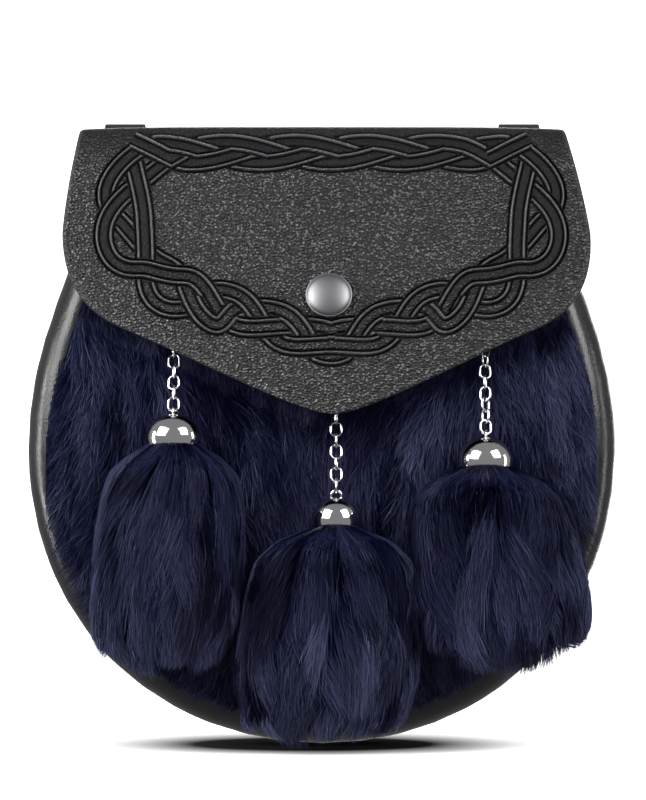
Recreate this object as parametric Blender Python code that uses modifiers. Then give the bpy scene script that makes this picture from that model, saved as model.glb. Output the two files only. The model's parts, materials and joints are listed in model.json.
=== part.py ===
"""Sporran pouch: a round leather pouch with a rolled rim, a fur front, a folded leather flap closed by a
snap, and three fur tassels that hang from chains under metal caps.

Metres, +Z up, the front faces -Y. The origin is on the strap that carries the pouch, midway between the two
belt loops at its back. Two lengths place everything: forward is the distance in front of the back panel's
outer face, and height is measured from the pouch's lowest point.
"""

import math

import bmesh
import bpy
import numpy as np
from mathutils import Matrix, Vector
from mathutils.geometry import interpolate_bezier

# Clearance that neighbouring pieces keep
GAP = 0.0003

# Pouch
POUCH_WIDTH = 0.190
POUCH_HEIGHT = 0.183
POUCH_DEPTH = 0.036
WIDEST_HEIGHT = 0.096
MOUTH_WIDTH = 0.144
LOWER_FULLNESS = 0.58
UPPER_FULLNESS = 0.40
MOUTH_TAPER = 0.30
RIM_WIDTH = 0.0085
RIM_DEPTH = 0.012
RIM_START = 0.4
GUSSET_LEATHER = 0.002
BACK_EDGE_INSET = 0.0012
BACK_LEATHER = 0.0025
BACK_RISE = 0.004
BACK_CORNER = 0.012

# Fur front
HIDE_THICKNESS = 0.002
HIDE_DROP = 0.004
FRONT_BULGE = 0.003
FUR_PRESSED = 0.0025
FUR_LOFT = 0.0045
FUR_EDGE = 0.001
FUR_EDGE_FADE = 0.012
LOCK_WIDTH = 0.0215
LOCK_LENGTH = 0.034
LOCK_DEPTH = 0.003

# Flap
FLAP_LEATHER = 0.0026
FLAP_WIDTH = 0.170
FLAP_CREST_WIDTH = 0.158
FLAP_WIDEST_DROP = 0.0368
FLAP_FLARE = 1.3
FLAP_DROP = 0.0938
FLAP_ROOT = 0.0468
FLAP_CURL = 0.0028
FLAP_SKEW = 0.0036
FOLD_CREST = 0.45
FOLD_FULLNESS = 0.55
FOLD_RISE = 0.0145
FOLD_SAG = 0.0008
FLAP_ROOM = 0.001
FUR_RELEASE = 0.010

# Snap
SNAP_DROP = 0.0568
SNAP_DIAMETER = 0.0150
SNAP_HEIGHT = 0.0030
SNAP_EDGE = 0.0010
SHANK_DIAMETER = 0.0040
SOCKET_DIAMETER = 0.0110
SOCKET_HEIGHT = 0.0018
STUD_HEIGHT = 0.0020

# Belt loops
LOOP_SPACING = 0.1300
LOOP_WIDTH = 0.0134
LOOP_LEATHER = 0.0020
LOOP_GAP = 0.0070
LOOP_HEIGHT = 0.0340
LOOP_TAIL = 0.0120
LOOP_RISE = 0.0022

# Chains
WIRE_DIAMETER = 0.00075
LINK_LENGTH = 0.0055
LINK_WIDTH = 0.0042
LINK_PLAY = 0.00025
EYE_WIRE = 0.00080
EYE_WIDTH = 0.0041
EYE_RISE = 0.0024
ANCHOR_DIAMETER = 0.0070
ANCHOR_PLATE = 0.0008
ANCHOR_RISE = 0.0031
SWAY_STEP = 2.4

# Caps: their widest point as a share of their height, and the angle that the rim curls in below it
CAP_WALL = 0.0008
CAP_HEIGHT = 0.0102
CAP_WIDEST = 0.26
CAP_CURL = math.radians(20)

# Share of the pouch's height, share of its depth there
DEPTH_SECTIONS = (
    {"height": 0.00, "depth": 0.90},
    {"height": 0.14, "depth": 0.97},
    {"height": 0.34, "depth": 1.00},
    {"height": 0.55, "depth": 0.98},
    {"height": 0.72, "depth": 0.89},
    {"height": 0.86, "depth": 0.77},
    {"height": 1.00, "depth": 0.65},
)

# Lower edge of the flap from its widest point to its tip, in shares of its half width and of its drop
FLAP_EDGE = (
    {"across": 1.000, "down": 0.390, "across_before": 1.000, "down_before": 0.390,
     "across_after": 1.000, "down_after": 0.580},
    {"across": 0.751, "down": 0.720, "across_before": 0.900, "down_before": 0.665,
     "across_after": 0.500, "down_after": 0.815},
    {"across": 0.000, "down": 1.000, "across_before": 0.130, "down_before": 0.997,
     "across_after": 0.000, "down_after": 1.000},
)

# Each tassel: where its cap hangs, with its rim that far below the flap's crest, how big the fur is, and
# the chain above it. Turn is the eye's angle to the front, twist the chain's whole turn and sway the small
# turns of single links, in degrees.
TASSELS = (
    {"side": "left", "right": -0.0472, "cap_drop": 0.1035, "cap_diameter": 0.0178, "width": 0.0450,
     "depth": 0.0240, "length": 0.0750, "lean": -0.0035, "links": 8, "turn": 90, "twist": 0, "sway": 12},
    {"side": "centre", "right": 0.0045, "cap_drop": 0.1299, "cap_diameter": 0.0158, "width": 0.0550,
     "depth": 0.0270, "length": 0.0690, "lean": -0.0045, "links": 9, "turn": 0, "twist": 0, "sway": 5},
    {"side": "right", "right": 0.0520, "cap_drop": 0.1109, "cap_diameter": 0.0174, "width": 0.0535,
     "depth": 0.0270, "length": 0.0660, "lean": 0.0065, "links": 10, "turn": 90, "twist": 180, "sway": 0},
)

# Fur of a tassel below its cap, in shares of its length and of its half width. It swells from round to its
# own depth over the spread, and its locks take the flute off its width and the tip off its length.
TASSEL_SECTIONS = (
    {"down": 0.04, "wide": 0.58},
    {"down": 0.12, "wide": 0.78},
    {"down": 0.24, "wide": 0.90},
    {"down": 0.42, "wide": 0.96},
    {"down": 0.60, "wide": 1.00},
    {"down": 0.78, "wide": 0.97},
    {"down": 0.91, "wide": 0.86},
    {"down": 0.99, "wide": 0.62},
    {"down": 0.96, "wide": 0.30},
)
TASSEL_LOCKS = 12
TASSEL_FLUTE = 0.09
TASSEL_TIP = 0.035
TASSEL_SPREAD = 0.25

# How finely the shapes are divided
CURVE_POINTS = 30
HALVINGS = 30
OUTLINE_STEPS = 34
RIM_STEPS = 6
FRONT_COLUMNS = 24
FRONT_ROWS = 15
FLAP_COLUMNS = 20
FLAP_BACK_ROWS = 2
FLAP_FOLD_ROWS = 8
FLAP_FRONT_ROWS = 9
LINK_SIDES = 10
WIRE_SIDES = 5
CAP_SIDES = 16
ROUND_SIDES = 20
ARC_STEPS = 5

# Materials: colour, roughness, metallic
FINISHES = {
    "gusset_leather": ((0.012, 0.012, 0.014), 0.45, 0.0),
    "flap_leather": ((0.016, 0.016, 0.018), 0.50, 0.0),
    "navy_fur": ((0.006, 0.008, 0.030), 0.75, 0.0),
    "polished_metal": ((0.80, 0.80, 0.82), 0.12, 1.0),
    "gunmetal": ((0.35, 0.35, 0.37), 0.30, 1.0),
}

ANCHOR_REACH = GAP + ANCHOR_PLATE + ANCHOR_RISE - EYE_WIRE / 2
CREST_HEIGHT = POUCH_HEIGHT + FOLD_RISE + FLAP_LEATHER
FLAP_TIP_HEIGHT = CREST_HEIGHT - FLAP_DROP
FLAP_SHOULDER = POUCH_HEIGHT - RIM_DEPTH / 2
HANG_HEIGHT = CREST_HEIGHT + LOOP_RISE - LOOP_LEATHER - LOOP_HEIGHT / 2
LOOP_SEAT = -(GAP + FLAP_LEATHER + GAP)
BACK_Y = LOOP_SEAT - LOOP_LEATHER - LOOP_GAP / 2


def place(right, forward, height):
    """A point of the model from its distance to the right, in front of the back face, and from the bottom."""
    return Vector((right, BACK_Y - forward, height - HANG_HEIGHT))


def ease(share):
    share = min(max(share, 0.0), 1.0)
    return share * share * (3 - 2 * share)


def quarter_turn():
    return [math.pi / 2 * step / ARC_STEPS for step in range(ARC_STEPS + 1)]


def column(rows, name):
    return [row[name] for row in rows]


def bezier(start, start_handle, end_handle, end):
    """Points (first, second) along a plane Bezier curve."""
    corners = (Vector(corner) for corner in (start, start_handle, end_handle, end))
    return [tuple(point[:2]) for point in interpolate_bezier(*corners, CURVE_POINTS)]


def pouch_outline():
    """The right half of the pouch seen from the front, from its lowest point up to the mouth."""
    half = POUCH_WIDTH / 2
    mouth = MOUTH_WIDTH / 2
    upper = POUCH_HEIGHT - WIDEST_HEIGHT
    lower = bezier(
        (0, 0), (LOWER_FULLNESS * half, 0),
        (half, WIDEST_HEIGHT * (1 - LOWER_FULLNESS)), (half, WIDEST_HEIGHT),
    )
    above = bezier(
        (half, WIDEST_HEIGHT), (half, WIDEST_HEIGHT + UPPER_FULLNESS * upper),
        (mouth + MOUTH_TAPER * (half - mouth), POUCH_HEIGHT - MOUTH_TAPER * upper), (mouth, POUCH_HEIGHT),
    )
    return np.array(lower + above[1:])


OUTLINE = pouch_outline()
OUTLINE_REACH = np.concatenate([[0], np.cumsum(np.linalg.norm(np.diff(OUTLINE, axis=0), axis=1))])
OUTLINE_TANGENT = np.gradient(OUTLINE, OUTLINE_REACH, axis=0)


def outline_at(along, inset):
    """(right, height) on the outline, from the left mouth corner at -1 to the right one at 1."""
    reach = abs(along) * OUTLINE_REACH[-1]
    right, height, slope_right, slope_height = (
        np.interp(reach, OUTLINE_REACH, values)
        for values in (OUTLINE[:, 0], OUTLINE[:, 1], OUTLINE_TANGENT[:, 0], OUTLINE_TANGENT[:, 1])
    )
    length = math.hypot(slope_right, slope_height)
    right -= inset * slope_height / length
    height += inset * slope_right / length
    return math.copysign(right, along), height


def pouch_depth(height):
    heights = [share * POUCH_HEIGHT for share in column(DEPTH_SECTIONS, "height")]
    return float(np.interp(height, heights, column(DEPTH_SECTIONS, "depth"))) * POUCH_DEPTH


def panel_edges():
    """The fur panel's own outline, inside the rim: its lower curve and its sides above the widest point."""
    points = np.array([outline_at(share, RIM_WIDTH + GAP) for share in np.linspace(0, 1, 80)])
    widest = int(points[:, 0].argmax())
    return points[: widest + 1], points[widest:]


PANEL_LOWER, PANEL_UPPER = panel_edges()
PANEL_HALF = PANEL_LOWER[-1, 0]
PANEL_TOP = POUCH_HEIGHT - HIDE_DROP


def panel_half_width(height):
    return float(np.interp(max(height, PANEL_UPPER[0, 1]), PANEL_UPPER[:, 1], PANEL_UPPER[:, 0]))


def panel_floor(right):
    return float(np.interp(abs(right), PANEL_LOWER[:, 0], PANEL_LOWER[:, 1]))


def hide_face(right, height):
    """How far forward the hide under the fur lies: the pouch's depth and a slight bulge."""
    across = right / panel_half_width(height)
    middle = (PANEL_TOP + PANEL_LOWER[0, 1]) / 2
    upright = (height - middle) / (PANEL_TOP - middle)
    return pouch_depth(height) + FRONT_BULGE * max(0.0, 1 - across**2) * max(0.0, 1 - upright**2)


def pressed_fur(right, height):
    """How far forward the fur lies where the flap presses it flat."""
    return hide_face(right, height) + FUR_PRESSED


def hide_normal(right, height, reach):
    """The direction that the hide faces, from its slope over that reach above and below the point."""
    rise = hide_face(right, height + reach) - hide_face(right, height - reach)
    return Vector((0, -2 * reach, -rise)).normalized()


def flap_edge():
    """The flap's lower edge from its widest point to its tip, as (right, height)."""
    shares = []
    for first, second in zip(FLAP_EDGE, FLAP_EDGE[1:]):
        shares += bezier(
            (first["across"], first["down"]), (first["across_after"], first["down_after"]),
            (second["across_before"], second["down_before"]), (second["across"], second["down"]),
        )
    return np.array([(across * FLAP_WIDTH / 2, CREST_HEIGHT - down * FLAP_DROP) for across, down in shares])


FLAP_LOWER = flap_edge()[::-1]


def flap_floor(right):
    """Height of the flap's lower edge that far from its middle."""
    return float(np.interp(abs(right), FLAP_LOWER[:, 0], FLAP_LOWER[:, 1]))


def fur_thickness(right, height):
    """Fur on the hide: pressed flat under the flap and lofted below it."""
    below = (flap_floor(right) - height) / FUR_RELEASE
    return FUR_PRESSED + (FUR_LOFT - FUR_PRESSED) * ease(below)


def lock_height(right, height):
    """How much of a lock's depth stands at a point: locks hang in staggered rows, thick at their tips."""
    row = height / LOCK_LENGTH
    stagger = 0.5 * (math.floor(row) % 2)
    beside = 2 * ((right / LOCK_WIDTH + stagger) % 1) - 1
    return (1 - row % 1) * (1 - beside * beside)


def material(name):
    found = bpy.data.materials.get(name)
    if found:
        return found
    colour, roughness, metallic = FINISHES[name]
    made = bpy.data.materials.new(name)
    made.use_nodes = True
    shader = made.node_tree.nodes["Principled BSDF"]
    shader.inputs["Base Color"].default_value = (*colour, 1)
    shader.inputs["Roughness"].default_value = roughness
    shader.inputs["Metallic"].default_value = metallic
    return made


def add_object(name, data, finish, helper=False):
    """Puts a new object in the sporran's collection, or in the helpers' one if it only cuts or joins."""
    made = bpy.data.objects.new(name, data)
    data.materials.append(material(finish))
    (HELPERS if helper else SPORRAN).objects.link(made)
    if helper:
        made.hide_render = True
        made.display_type = "WIRE"
    return made


def mesh_object(name, form, finish, helper=False):
    data = bpy.data.meshes.new(name)
    bmesh.ops.recalc_face_normals(form, faces=form.faces)
    form.to_mesh(data)
    form.free()
    data.shade_smooth()
    data.set_sharp_from_angle(angle=math.radians(50))
    return add_object(name, data, finish, helper)


def slab(columns, rows, shape):
    """A thick sheet: a unit grid is extruded once, and shape puts each (across, down, layer) in its place."""
    form = bmesh.new()
    bmesh.ops.create_grid(form, x_segments=columns, y_segments=rows, size=1)
    made = bmesh.ops.extrude_face_region(form, geom=form.faces[:], use_keep_orig=True)
    new_points = [item for item in made["geom"] if isinstance(item, bmesh.types.BMVert)]
    bmesh.ops.translate(form, vec=(0, 0, 1), verts=new_points)
    for point in form.verts:
        across, down, layer = point.co
        point.co = shape(across, (1 - down) / 2, layer)
    return form


def outline_object(name, points, thickness, finish, hole=None):
    """A flat outline with an optional hole, as a filled 2D curve of that thickness."""
    data = bpy.data.curves.new(name, "CURVE")
    data.dimensions = "2D"
    data.fill_mode = "BOTH"
    data.extrude = thickness / 2
    for ring in filter(None, (points, hole)):
        spline = data.splines.new("POLY")
        spline.points.add(len(ring) - 1)
        spline.use_cyclic_u = True
        for knot, (first, second) in zip(spline.points, ring):
            knot.co = (first, second, 0, 1)
    return add_object(name, data, finish)


def wire_curve(name, path, diameter):
    """A round wire along a path, with six sides and closed ends."""
    data = bpy.data.curves.new(name, "CURVE")
    data.dimensions = "3D"
    data.bevel_depth = diameter / 2
    data.bevel_resolution = 1
    data.use_fill_caps = True
    spline = data.splines.new("POLY")
    spline.points.add(len(path) - 1)
    for knot, point in zip(spline.points, path):
        knot.co = (*point, 1)
    return data


def curve_as_mesh(data, matrix, finish):
    """A curve made a welded mesh, so that it can be joined to another piece."""
    source = add_object(data.name, data, finish, helper=True)
    source.matrix_world = matrix
    bpy.context.view_layer.update()
    evaluated = source.evaluated_get(bpy.context.evaluated_depsgraph_get())
    made = bpy.data.meshes.new_from_object(evaluated)
    form = bmesh.new()
    form.from_mesh(made)
    bmesh.ops.remove_doubles(form, verts=form.verts, dist=WIRE_DIAMETER / 100)
    bmesh.ops.recalc_face_normals(form, faces=form.faces)
    form.to_mesh(made)
    form.free()
    joined = add_object(data.name + "_solid", made, finish, helper=True)
    joined.matrix_world = matrix
    bpy.data.objects.remove(source)
    return joined


def turned_object(name, profile, matrix, finish, steps):
    """A profile of (radius, height) from the top of its outer side, turned about its own Z axis."""
    data = bpy.data.meshes.new(name)
    form = bmesh.new()
    points = [form.verts.new((radius, 0, height)) for radius, height in profile]
    for first, second in zip(points, points[1:]):
        form.edges.new((first, second))
    form.to_mesh(data)
    form.free()
    made = add_object(name, data, finish)
    made.matrix_world = matrix
    screw = made.modifiers.new("Turn", "SCREW")
    screw.steps = screw.render_steps = steps
    screw.use_merge_vertices = True
    screw.merge_threshold = 0.00001
    screw.use_smooth_shade = True
    return made


def join(target, helper):
    union = target.modifiers.new("Join", "BOOLEAN")
    union.operation = "UNION"
    union.object = helper


def frame_at(origin, up, side):
    """A matrix whose Z axis is up, and whose X axis lies near side."""
    up = up.normalized()
    ahead = up.cross(side).normalized()
    axes = Matrix((ahead.cross(up), ahead, up)).transposed()
    return Matrix.Translation(origin) @ axes.to_4x4()


def make_back_panel():
    edge = [outline_at(share, 0) for share in np.linspace(-1, 1, OUTLINE_STEPS + 1)]
    top = POUCH_HEIGHT + BACK_RISE
    half = MOUTH_WIDTH / 2
    right_corner = [
        (half - BACK_CORNER * (1 - math.cos(angle)), top - BACK_RISE * (1 - math.sin(angle)))
        for angle in quarter_turn()
    ]
    left_corner = [(-right, height) for right, height in reversed(right_corner)]
    ring = edge[1:-1] + right_corner + left_corner
    made = outline_object("back_panel", ring, BACK_LEATHER, "gusset_leather")
    made.rotation_euler = (math.pi / 2, 0, 0)
    made.location = place(0, BACK_LEATHER / 2, 0)


def gusset_section(down, layer, depth):
    """(inset, forward) across the gusset, from its back edge round the rolled rim to the front lip."""
    inner = GUSSET_LEATHER * (1 - layer)
    rear = BACK_LEATHER + GAP
    shoulder = depth - RIM_DEPTH
    if down < RIM_START:
        share = down / RIM_START
        return BACK_EDGE_INSET * (1 - share) ** 2 + inner, rear + share * (shoulder - rear)
    angle = math.pi / 2 * (down - RIM_START) / (1 - RIM_START)
    inset = RIM_WIDTH - (RIM_WIDTH - inner) * math.cos(angle)
    return inset, shoulder + (RIM_DEPTH - inner) * math.sin(angle)


def make_gusset():
    def shape(along, down, layer):
        height = outline_at(along, 0)[1]
        inset, forward = gusset_section(down, layer, pouch_depth(height))
        right, height = outline_at(along, inset)
        return place(right, forward, height)

    mesh_object("gusset", slab(OUTLINE_STEPS, RIM_STEPS, shape), "gusset_leather")


def panel_point(across, down):
    """(right, height) on the fur panel: columns run from its top edge to its lower curve."""
    across = math.sin(math.pi / 2 * across)
    floor = panel_floor(across * PANEL_HALF)
    height = PANEL_TOP + down * (floor - PANEL_TOP)
    return across * panel_half_width(height), height, (1 - abs(across)) * PANEL_HALF, height - floor


def make_fur_front():
    """The hide and the outer form of its fur, in staggered locks, as one piece."""

    def shape(across, down, layer):
        right, height, from_side, from_floor = panel_point(across, down)
        if not layer:
            return place(right, hide_face(right, height) - HIDE_THICKNESS, height)
        inside = ease(min(from_side, from_floor) / FUR_EDGE_FADE)
        loft = fur_thickness(right, height)
        hollow = ease((flap_floor(right) - height) / FUR_RELEASE) * LOCK_DEPTH
        loft -= hollow * (1 - lock_height(right, height))
        return place(right, hide_face(right, height) + FUR_EDGE + (loft - FUR_EDGE) * inside, height)

    mesh_object("fur_front", slab(FRONT_COLUMNS, FRONT_ROWS, shape), "navy_fur")


def cap_rim(tassel):
    return CREST_HEIGHT - tassel["cap_drop"]


def tassel_axis(tassel):
    """How far forward the middle of a tassel's cap hangs: its back just clears the fur."""
    return POUCH_DEPTH + FRONT_BULGE + FUR_LOFT + GAP + tassel["cap_diameter"] / 2


def chain_line(tassel):
    """The points where a chain's links meet, from the cap's eye to the anchor, as (forward, height).

    The chain is straight. It leans back from the eye until its end stands at the anchor's reach.
    """
    pitch = LINK_LENGTH - 2 * WIRE_DIAMETER - LINK_PLAY
    eye_top = cap_rim(tassel) + CAP_HEIGHT + EYE_RISE - EYE_WIRE / 2
    hold = (EYE_WIRE + LINK_PLAY) / 2

    bend = 0 if tassel["turn"] == 0 else (EYE_WIDTH - EYE_WIRE) / 2

    def points(lean):
        back, up = -math.sin(lean), math.cos(lean)
        reaches = [bend + step * pitch - hold for step in range(tassel["links"] + 1)]
        return [(tassel_axis(tassel) + back * reach, eye_top - bend + up * reach) for reach in reaches]

    low, high = 0.0, math.pi / 3
    for _ in range(HALVINGS):
        lean = (low + high) / 2
        forward, height = points(lean)[-1]
        if forward - pressed_fur(tassel["right"], height) > ANCHOR_REACH:
            low = lean
        else:
            high = lean
    return points(lean), lean


def flap_room():
    """How far the flap's tip stands off the pressed fur: the snap and every chain fit under the flap."""
    snap_height = CREST_HEIGHT - SNAP_DROP
    slope = (hide_face(0, snap_height - SOCKET_DIAMETER) - hide_face(0, snap_height)) / SOCKET_DIAMETER
    snap = SOCKET_HEIGHT + STUD_HEIGHT + 3 * GAP + slope * SOCKET_DIAMETER
    room = max(FLAP_ROOM, (snap - FLAP_ROOM) * (POUCH_HEIGHT - FLAP_TIP_HEIGHT) / (POUCH_HEIGHT - snap_height))
    for tassel in TASSELS:
        for forward, height in chain_line(tassel)[0]:
            drop = (POUCH_HEIGHT - height) / (POUCH_HEIGHT - FLAP_TIP_HEIGHT)
            if height < flap_floor(tassel["right"]) - LINK_LENGTH / 2 or drop <= 0:
                continue
            curl = 2 * FLAP_CURL * (tassel["right"] / (FLAP_WIDTH / 2)) ** 2
            front = forward + LINK_WIDTH / 2 + 2 * GAP + curl
            needed = front - pressed_fur(0, height) - FLAP_ROOM
            room = max(room, needed / drop)
    return room


FLAP_TIP_ROOM = flap_room()


def flap_inner(height):
    """How far forward the inner face of the flap's hanging part lies."""
    drop = (POUCH_HEIGHT - height) / (POUCH_HEIGHT - FLAP_TIP_HEIGHT)
    return pressed_fur(0, min(height, PANEL_TOP)) + FLAP_ROOM + max(drop, 0) * FLAP_TIP_ROOM


def flap_path():
    """The flap's inner face from its root up the back, over the fold and down the front."""
    shoulder = FLAP_SHOULDER
    rise = POUCH_HEIGHT + FOLD_RISE
    seat = -GAP
    front = flap_inner(shoulder)
    slope = (flap_inner(shoulder - FOLD_RISE) - front) / FOLD_RISE
    turn = POUCH_HEIGHT + BACK_RISE
    crest = seat + FOLD_CREST * (front - seat)
    over_back = bezier(
        (seat, turn), (seat, turn + FOLD_FULLNESS * (rise - turn)),
        (crest - FOLD_FULLNESS * (crest - seat), rise), (crest, rise),
    )
    fall = FOLD_FULLNESS * (rise - shoulder)
    over_front = bezier(
        (crest, rise), (crest + FOLD_FULLNESS * (front - crest), rise),
        (front - slope * fall, shoulder + fall), (front, shoulder),
    )
    heights = np.linspace(shoulder, FLAP_TIP_HEIGHT - FLAP_LEATHER, CURVE_POINTS)
    down = [(flap_inner(height), height) for height in heights]
    return np.array([(seat, CREST_HEIGHT - FLAP_ROOT)] + over_back + over_front[1:] + down[1:])


FLAP_PATH = flap_path()
FLAP_REACH = np.concatenate([[0], np.cumsum(np.linalg.norm(np.diff(FLAP_PATH, axis=0), axis=1))])
FLAP_SLOPE = np.gradient(FLAP_PATH, FLAP_REACH, axis=0)
FLAP_CREST_ROW = int(FLAP_PATH[:, 1].argmax())


def flap_reach_at(height):
    """Length along the flap's path from its root to that height on its front."""
    rows = slice(FLAP_CREST_ROW, None)
    return float(np.interp(-height, -FLAP_PATH[rows, 1], FLAP_REACH[rows]))


def flap_half_width(height, past_crest):
    if not past_crest:
        return FLAP_CREST_WIDTH / 2
    drop = min((CREST_HEIGHT - FLAP_LEATHER - height) / (FLAP_WIDEST_DROP - FLAP_LEATHER), 1)
    flare = 1 - (1 - drop) ** FLAP_FLARE
    return (FLAP_CREST_WIDTH + (FLAP_WIDTH - FLAP_CREST_WIDTH) * flare) / 2


def flap_surface(right_share, reach, offset):
    """A point of the flap at a share of its half width and a length along its path, off its inner face."""
    forward, height, ahead, up = (
        float(np.interp(reach, FLAP_REACH, values))
        for values in (FLAP_PATH[:, 0], FLAP_PATH[:, 1], FLAP_SLOPE[:, 0], FLAP_SLOPE[:, 1])
    )
    past_crest = reach > FLAP_REACH[FLAP_CREST_ROW]
    drop = (CREST_HEIGHT - height) / FLAP_DROP if past_crest else 0
    right = right_share * flap_half_width(height, past_crest) + FLAP_SKEW * drop
    front_share = ease((forward + GAP) / (flap_inner(POUCH_HEIGHT) + GAP))
    folded = ease((height - POUCH_HEIGHT) / FOLD_RISE)
    forward -= FLAP_CURL * (1 + drop) * front_share * right_share**2
    height -= FOLD_SAG * folded * right_share**6
    length = math.hypot(ahead, up)
    return place(right, forward - offset * up / length, height + offset * ahead / length)


def make_flap():
    rows = FLAP_BACK_ROWS + FLAP_FOLD_ROWS + FLAP_FRONT_ROWS
    row_ends = (0, FLAP_BACK_ROWS, FLAP_BACK_ROWS + FLAP_FOLD_ROWS, rows)

    def shape(across, down, layer):
        across = math.sin(math.pi / 2 * across)
        turn = POUCH_HEIGHT + BACK_RISE - (CREST_HEIGHT - FLAP_ROOT)
        shoulder = flap_reach_at(FLAP_SHOULDER)
        end = flap_reach_at(flap_floor(across * FLAP_WIDTH / 2))
        reach = float(np.interp(down * rows, row_ends, (0, turn, shoulder, end)))
        return flap_surface(across, reach, layer * FLAP_LEATHER)

    made = mesh_object("flap", slab(FLAP_COLUMNS, rows, shape), "flap_leather")
    form = bmesh.new()
    hole = SHANK_DIAMETER + 2 * GAP
    bmesh.ops.create_cone(
        form, cap_ends=True, segments=ROUND_SIDES // 2, radius1=hole / 2, radius2=hole / 2,
        depth=4 * FLAP_LEATHER,
    )
    cutter = mesh_object("snap_hole", form, "flap_leather", helper=True)
    cutter.matrix_world = snap_frame(FLAP_LEATHER / 2)
    cut = made.modifiers.new("Snap hole", "BOOLEAN")
    cut.operation = "DIFFERENCE"
    cut.object = cutter


def snap_frame(offset):
    """The frame of the snap, Z out of the flap, that far off the flap's inner face."""
    reach = flap_reach_at(CREST_HEIGHT - SNAP_DROP)
    inner, outer = (flap_surface(0, reach, layer) for layer in (0, FLAP_LEATHER))
    out = (outer - inner).normalized()
    return frame_at(inner + out * offset, out, Vector((1, 0, 0)))


def make_snap():
    radius = SNAP_DIAMETER / 2
    shank = SHANK_DIAMETER / 2
    dome = [
        (radius * math.sin(angle), SNAP_EDGE + (SNAP_HEIGHT - SNAP_EDGE) * math.cos(angle))
        for angle in quarter_turn()
    ]
    foot = -(GAP + FLAP_LEATHER + GAP + SOCKET_HEIGHT / 2)
    profile = dome + [(radius - SNAP_EDGE / 2, 0), (shank, 0), (shank, foot), (0, foot)]
    turned_object("snap_cap", profile, snap_frame(FLAP_LEATHER + GAP), "gunmetal", ROUND_SIDES)

    socket = SOCKET_DIAMETER / 2
    bore = shank + GAP
    ring = [(bore, 0), (socket, 0), (socket, -SOCKET_HEIGHT), (bore, -SOCKET_HEIGHT), (bore, 0)]
    turned_object("snap_socket", ring, snap_frame(-GAP), "gunmetal", ROUND_SIDES)

    frame = snap_frame(-GAP - SOCKET_HEIGHT - GAP)
    foot = frame.translation
    height = foot.z + HANG_HEIGHT
    out = hide_normal(foot.x, height, socket)
    seat = place(foot.x, pressed_fur(foot.x, height), height) + out * GAP
    tilt = (frame.to_3x3() @ Vector((0, 0, 1))).angle(out)
    room = (foot - seat).dot(out) - math.tan(tilt) * socket
    stud = [(0, room), (socket, room), (socket, 0), (0, 0)]
    turned_object("snap_stud", stud, frame_at(seat, out, Vector((1, 0, 0))), "gunmetal", ROUND_SIDES)


def make_belt_loops():
    """A strip of leather folded into a loop, its tails sewn together on the flap's root."""
    bend = LOOP_GAP / 2
    middle = LOOP_LEATHER + bend
    straight = LOOP_HEIGHT / 2 - bend
    outer = bend + LOOP_LEATHER
    tail_end = -(LOOP_HEIGHT / 2 + LOOP_LEATHER + LOOP_TAIL)
    steps = 2 * ARC_STEPS

    def arc(radius, first, last, height):
        turns = [first + (last - first) * step / steps for step in range(steps + 1)]
        return [(middle + radius * math.cos(turn), height + radius * math.sin(turn)) for turn in turns]

    under = -math.acos(max(-1.0, (LOOP_LEATHER - bend) / outer))
    ring = arc(outer, math.pi, 0, straight) + arc(outer, 0, under, -straight)
    ring += [(2 * LOOP_LEATHER, tail_end), (0, tail_end)]
    hole = arc(bend, math.pi, 0, straight) + arc(bend, 0, -math.pi, -straight)
    for side, sign in (("left", -1), ("right", 1)):
        made = outline_object("belt_loop_" + side, ring, LOOP_WIDTH, "gusset_leather", hole)
        seat = place(sign * LOOP_SPACING / 2, LOOP_SEAT, HANG_HEIGHT)
        made.matrix_world = Matrix.Translation(seat) @ Matrix(
            ((0, 0, 1), (1, 0, 0), (0, 1, 0))
        ).to_4x4()


def cap_profile(radius, wall):
    """The cap's outer side from its top to the rim, or its inner one with a wall."""
    widest = CAP_WIDEST * CAP_HEIGHT
    dome = [
        ((radius - wall) * math.sin(angle), widest + (CAP_HEIGHT - wall - widest) * math.cos(angle))
        for angle in quarter_turn()
    ]
    rim = [((radius - wall) * math.cos(CAP_CURL * step), widest * (1 - step)) for step in (0.5, 1)]
    return dome + rim


def eye_wire(name, rise, wall):
    """An arch of wire whose legs end halfway through the wall below it."""
    half = (EYE_WIDTH - EYE_WIRE) / 2
    top = rise - EYE_WIRE / 2
    sink = wall / 2
    turns = [math.pi * step / (2 * ARC_STEPS) for step in range(2 * ARC_STEPS + 1)]
    arch = [(half * math.cos(turn), 0, top - half + half * math.sin(turn)) for turn in turns]
    return wire_curve(name, [(half, 0, -sink)] + arch + [(-half, 0, -sink)], EYE_WIRE)


def make_cap(tassel):
    radius = tassel["cap_diameter"] / 2
    origin = place(tassel["right"], tassel_axis(tassel), cap_rim(tassel))
    profile = cap_profile(radius, 0) + cap_profile(radius, CAP_WALL)[::-1]
    name = "cap_" + tassel["side"]
    made = turned_object(name, profile, Matrix.Translation(origin), "polished_metal", CAP_SIDES)
    turn = Matrix.Rotation(math.radians(tassel["turn"]), 4, "Z")
    top = Matrix.Translation(origin + Vector((0, 0, CAP_HEIGHT)))
    eye = eye_wire(name + "_eye", EYE_RISE, CAP_WALL)
    join(made, curve_as_mesh(eye, top @ turn, "polished_metal"))


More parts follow.
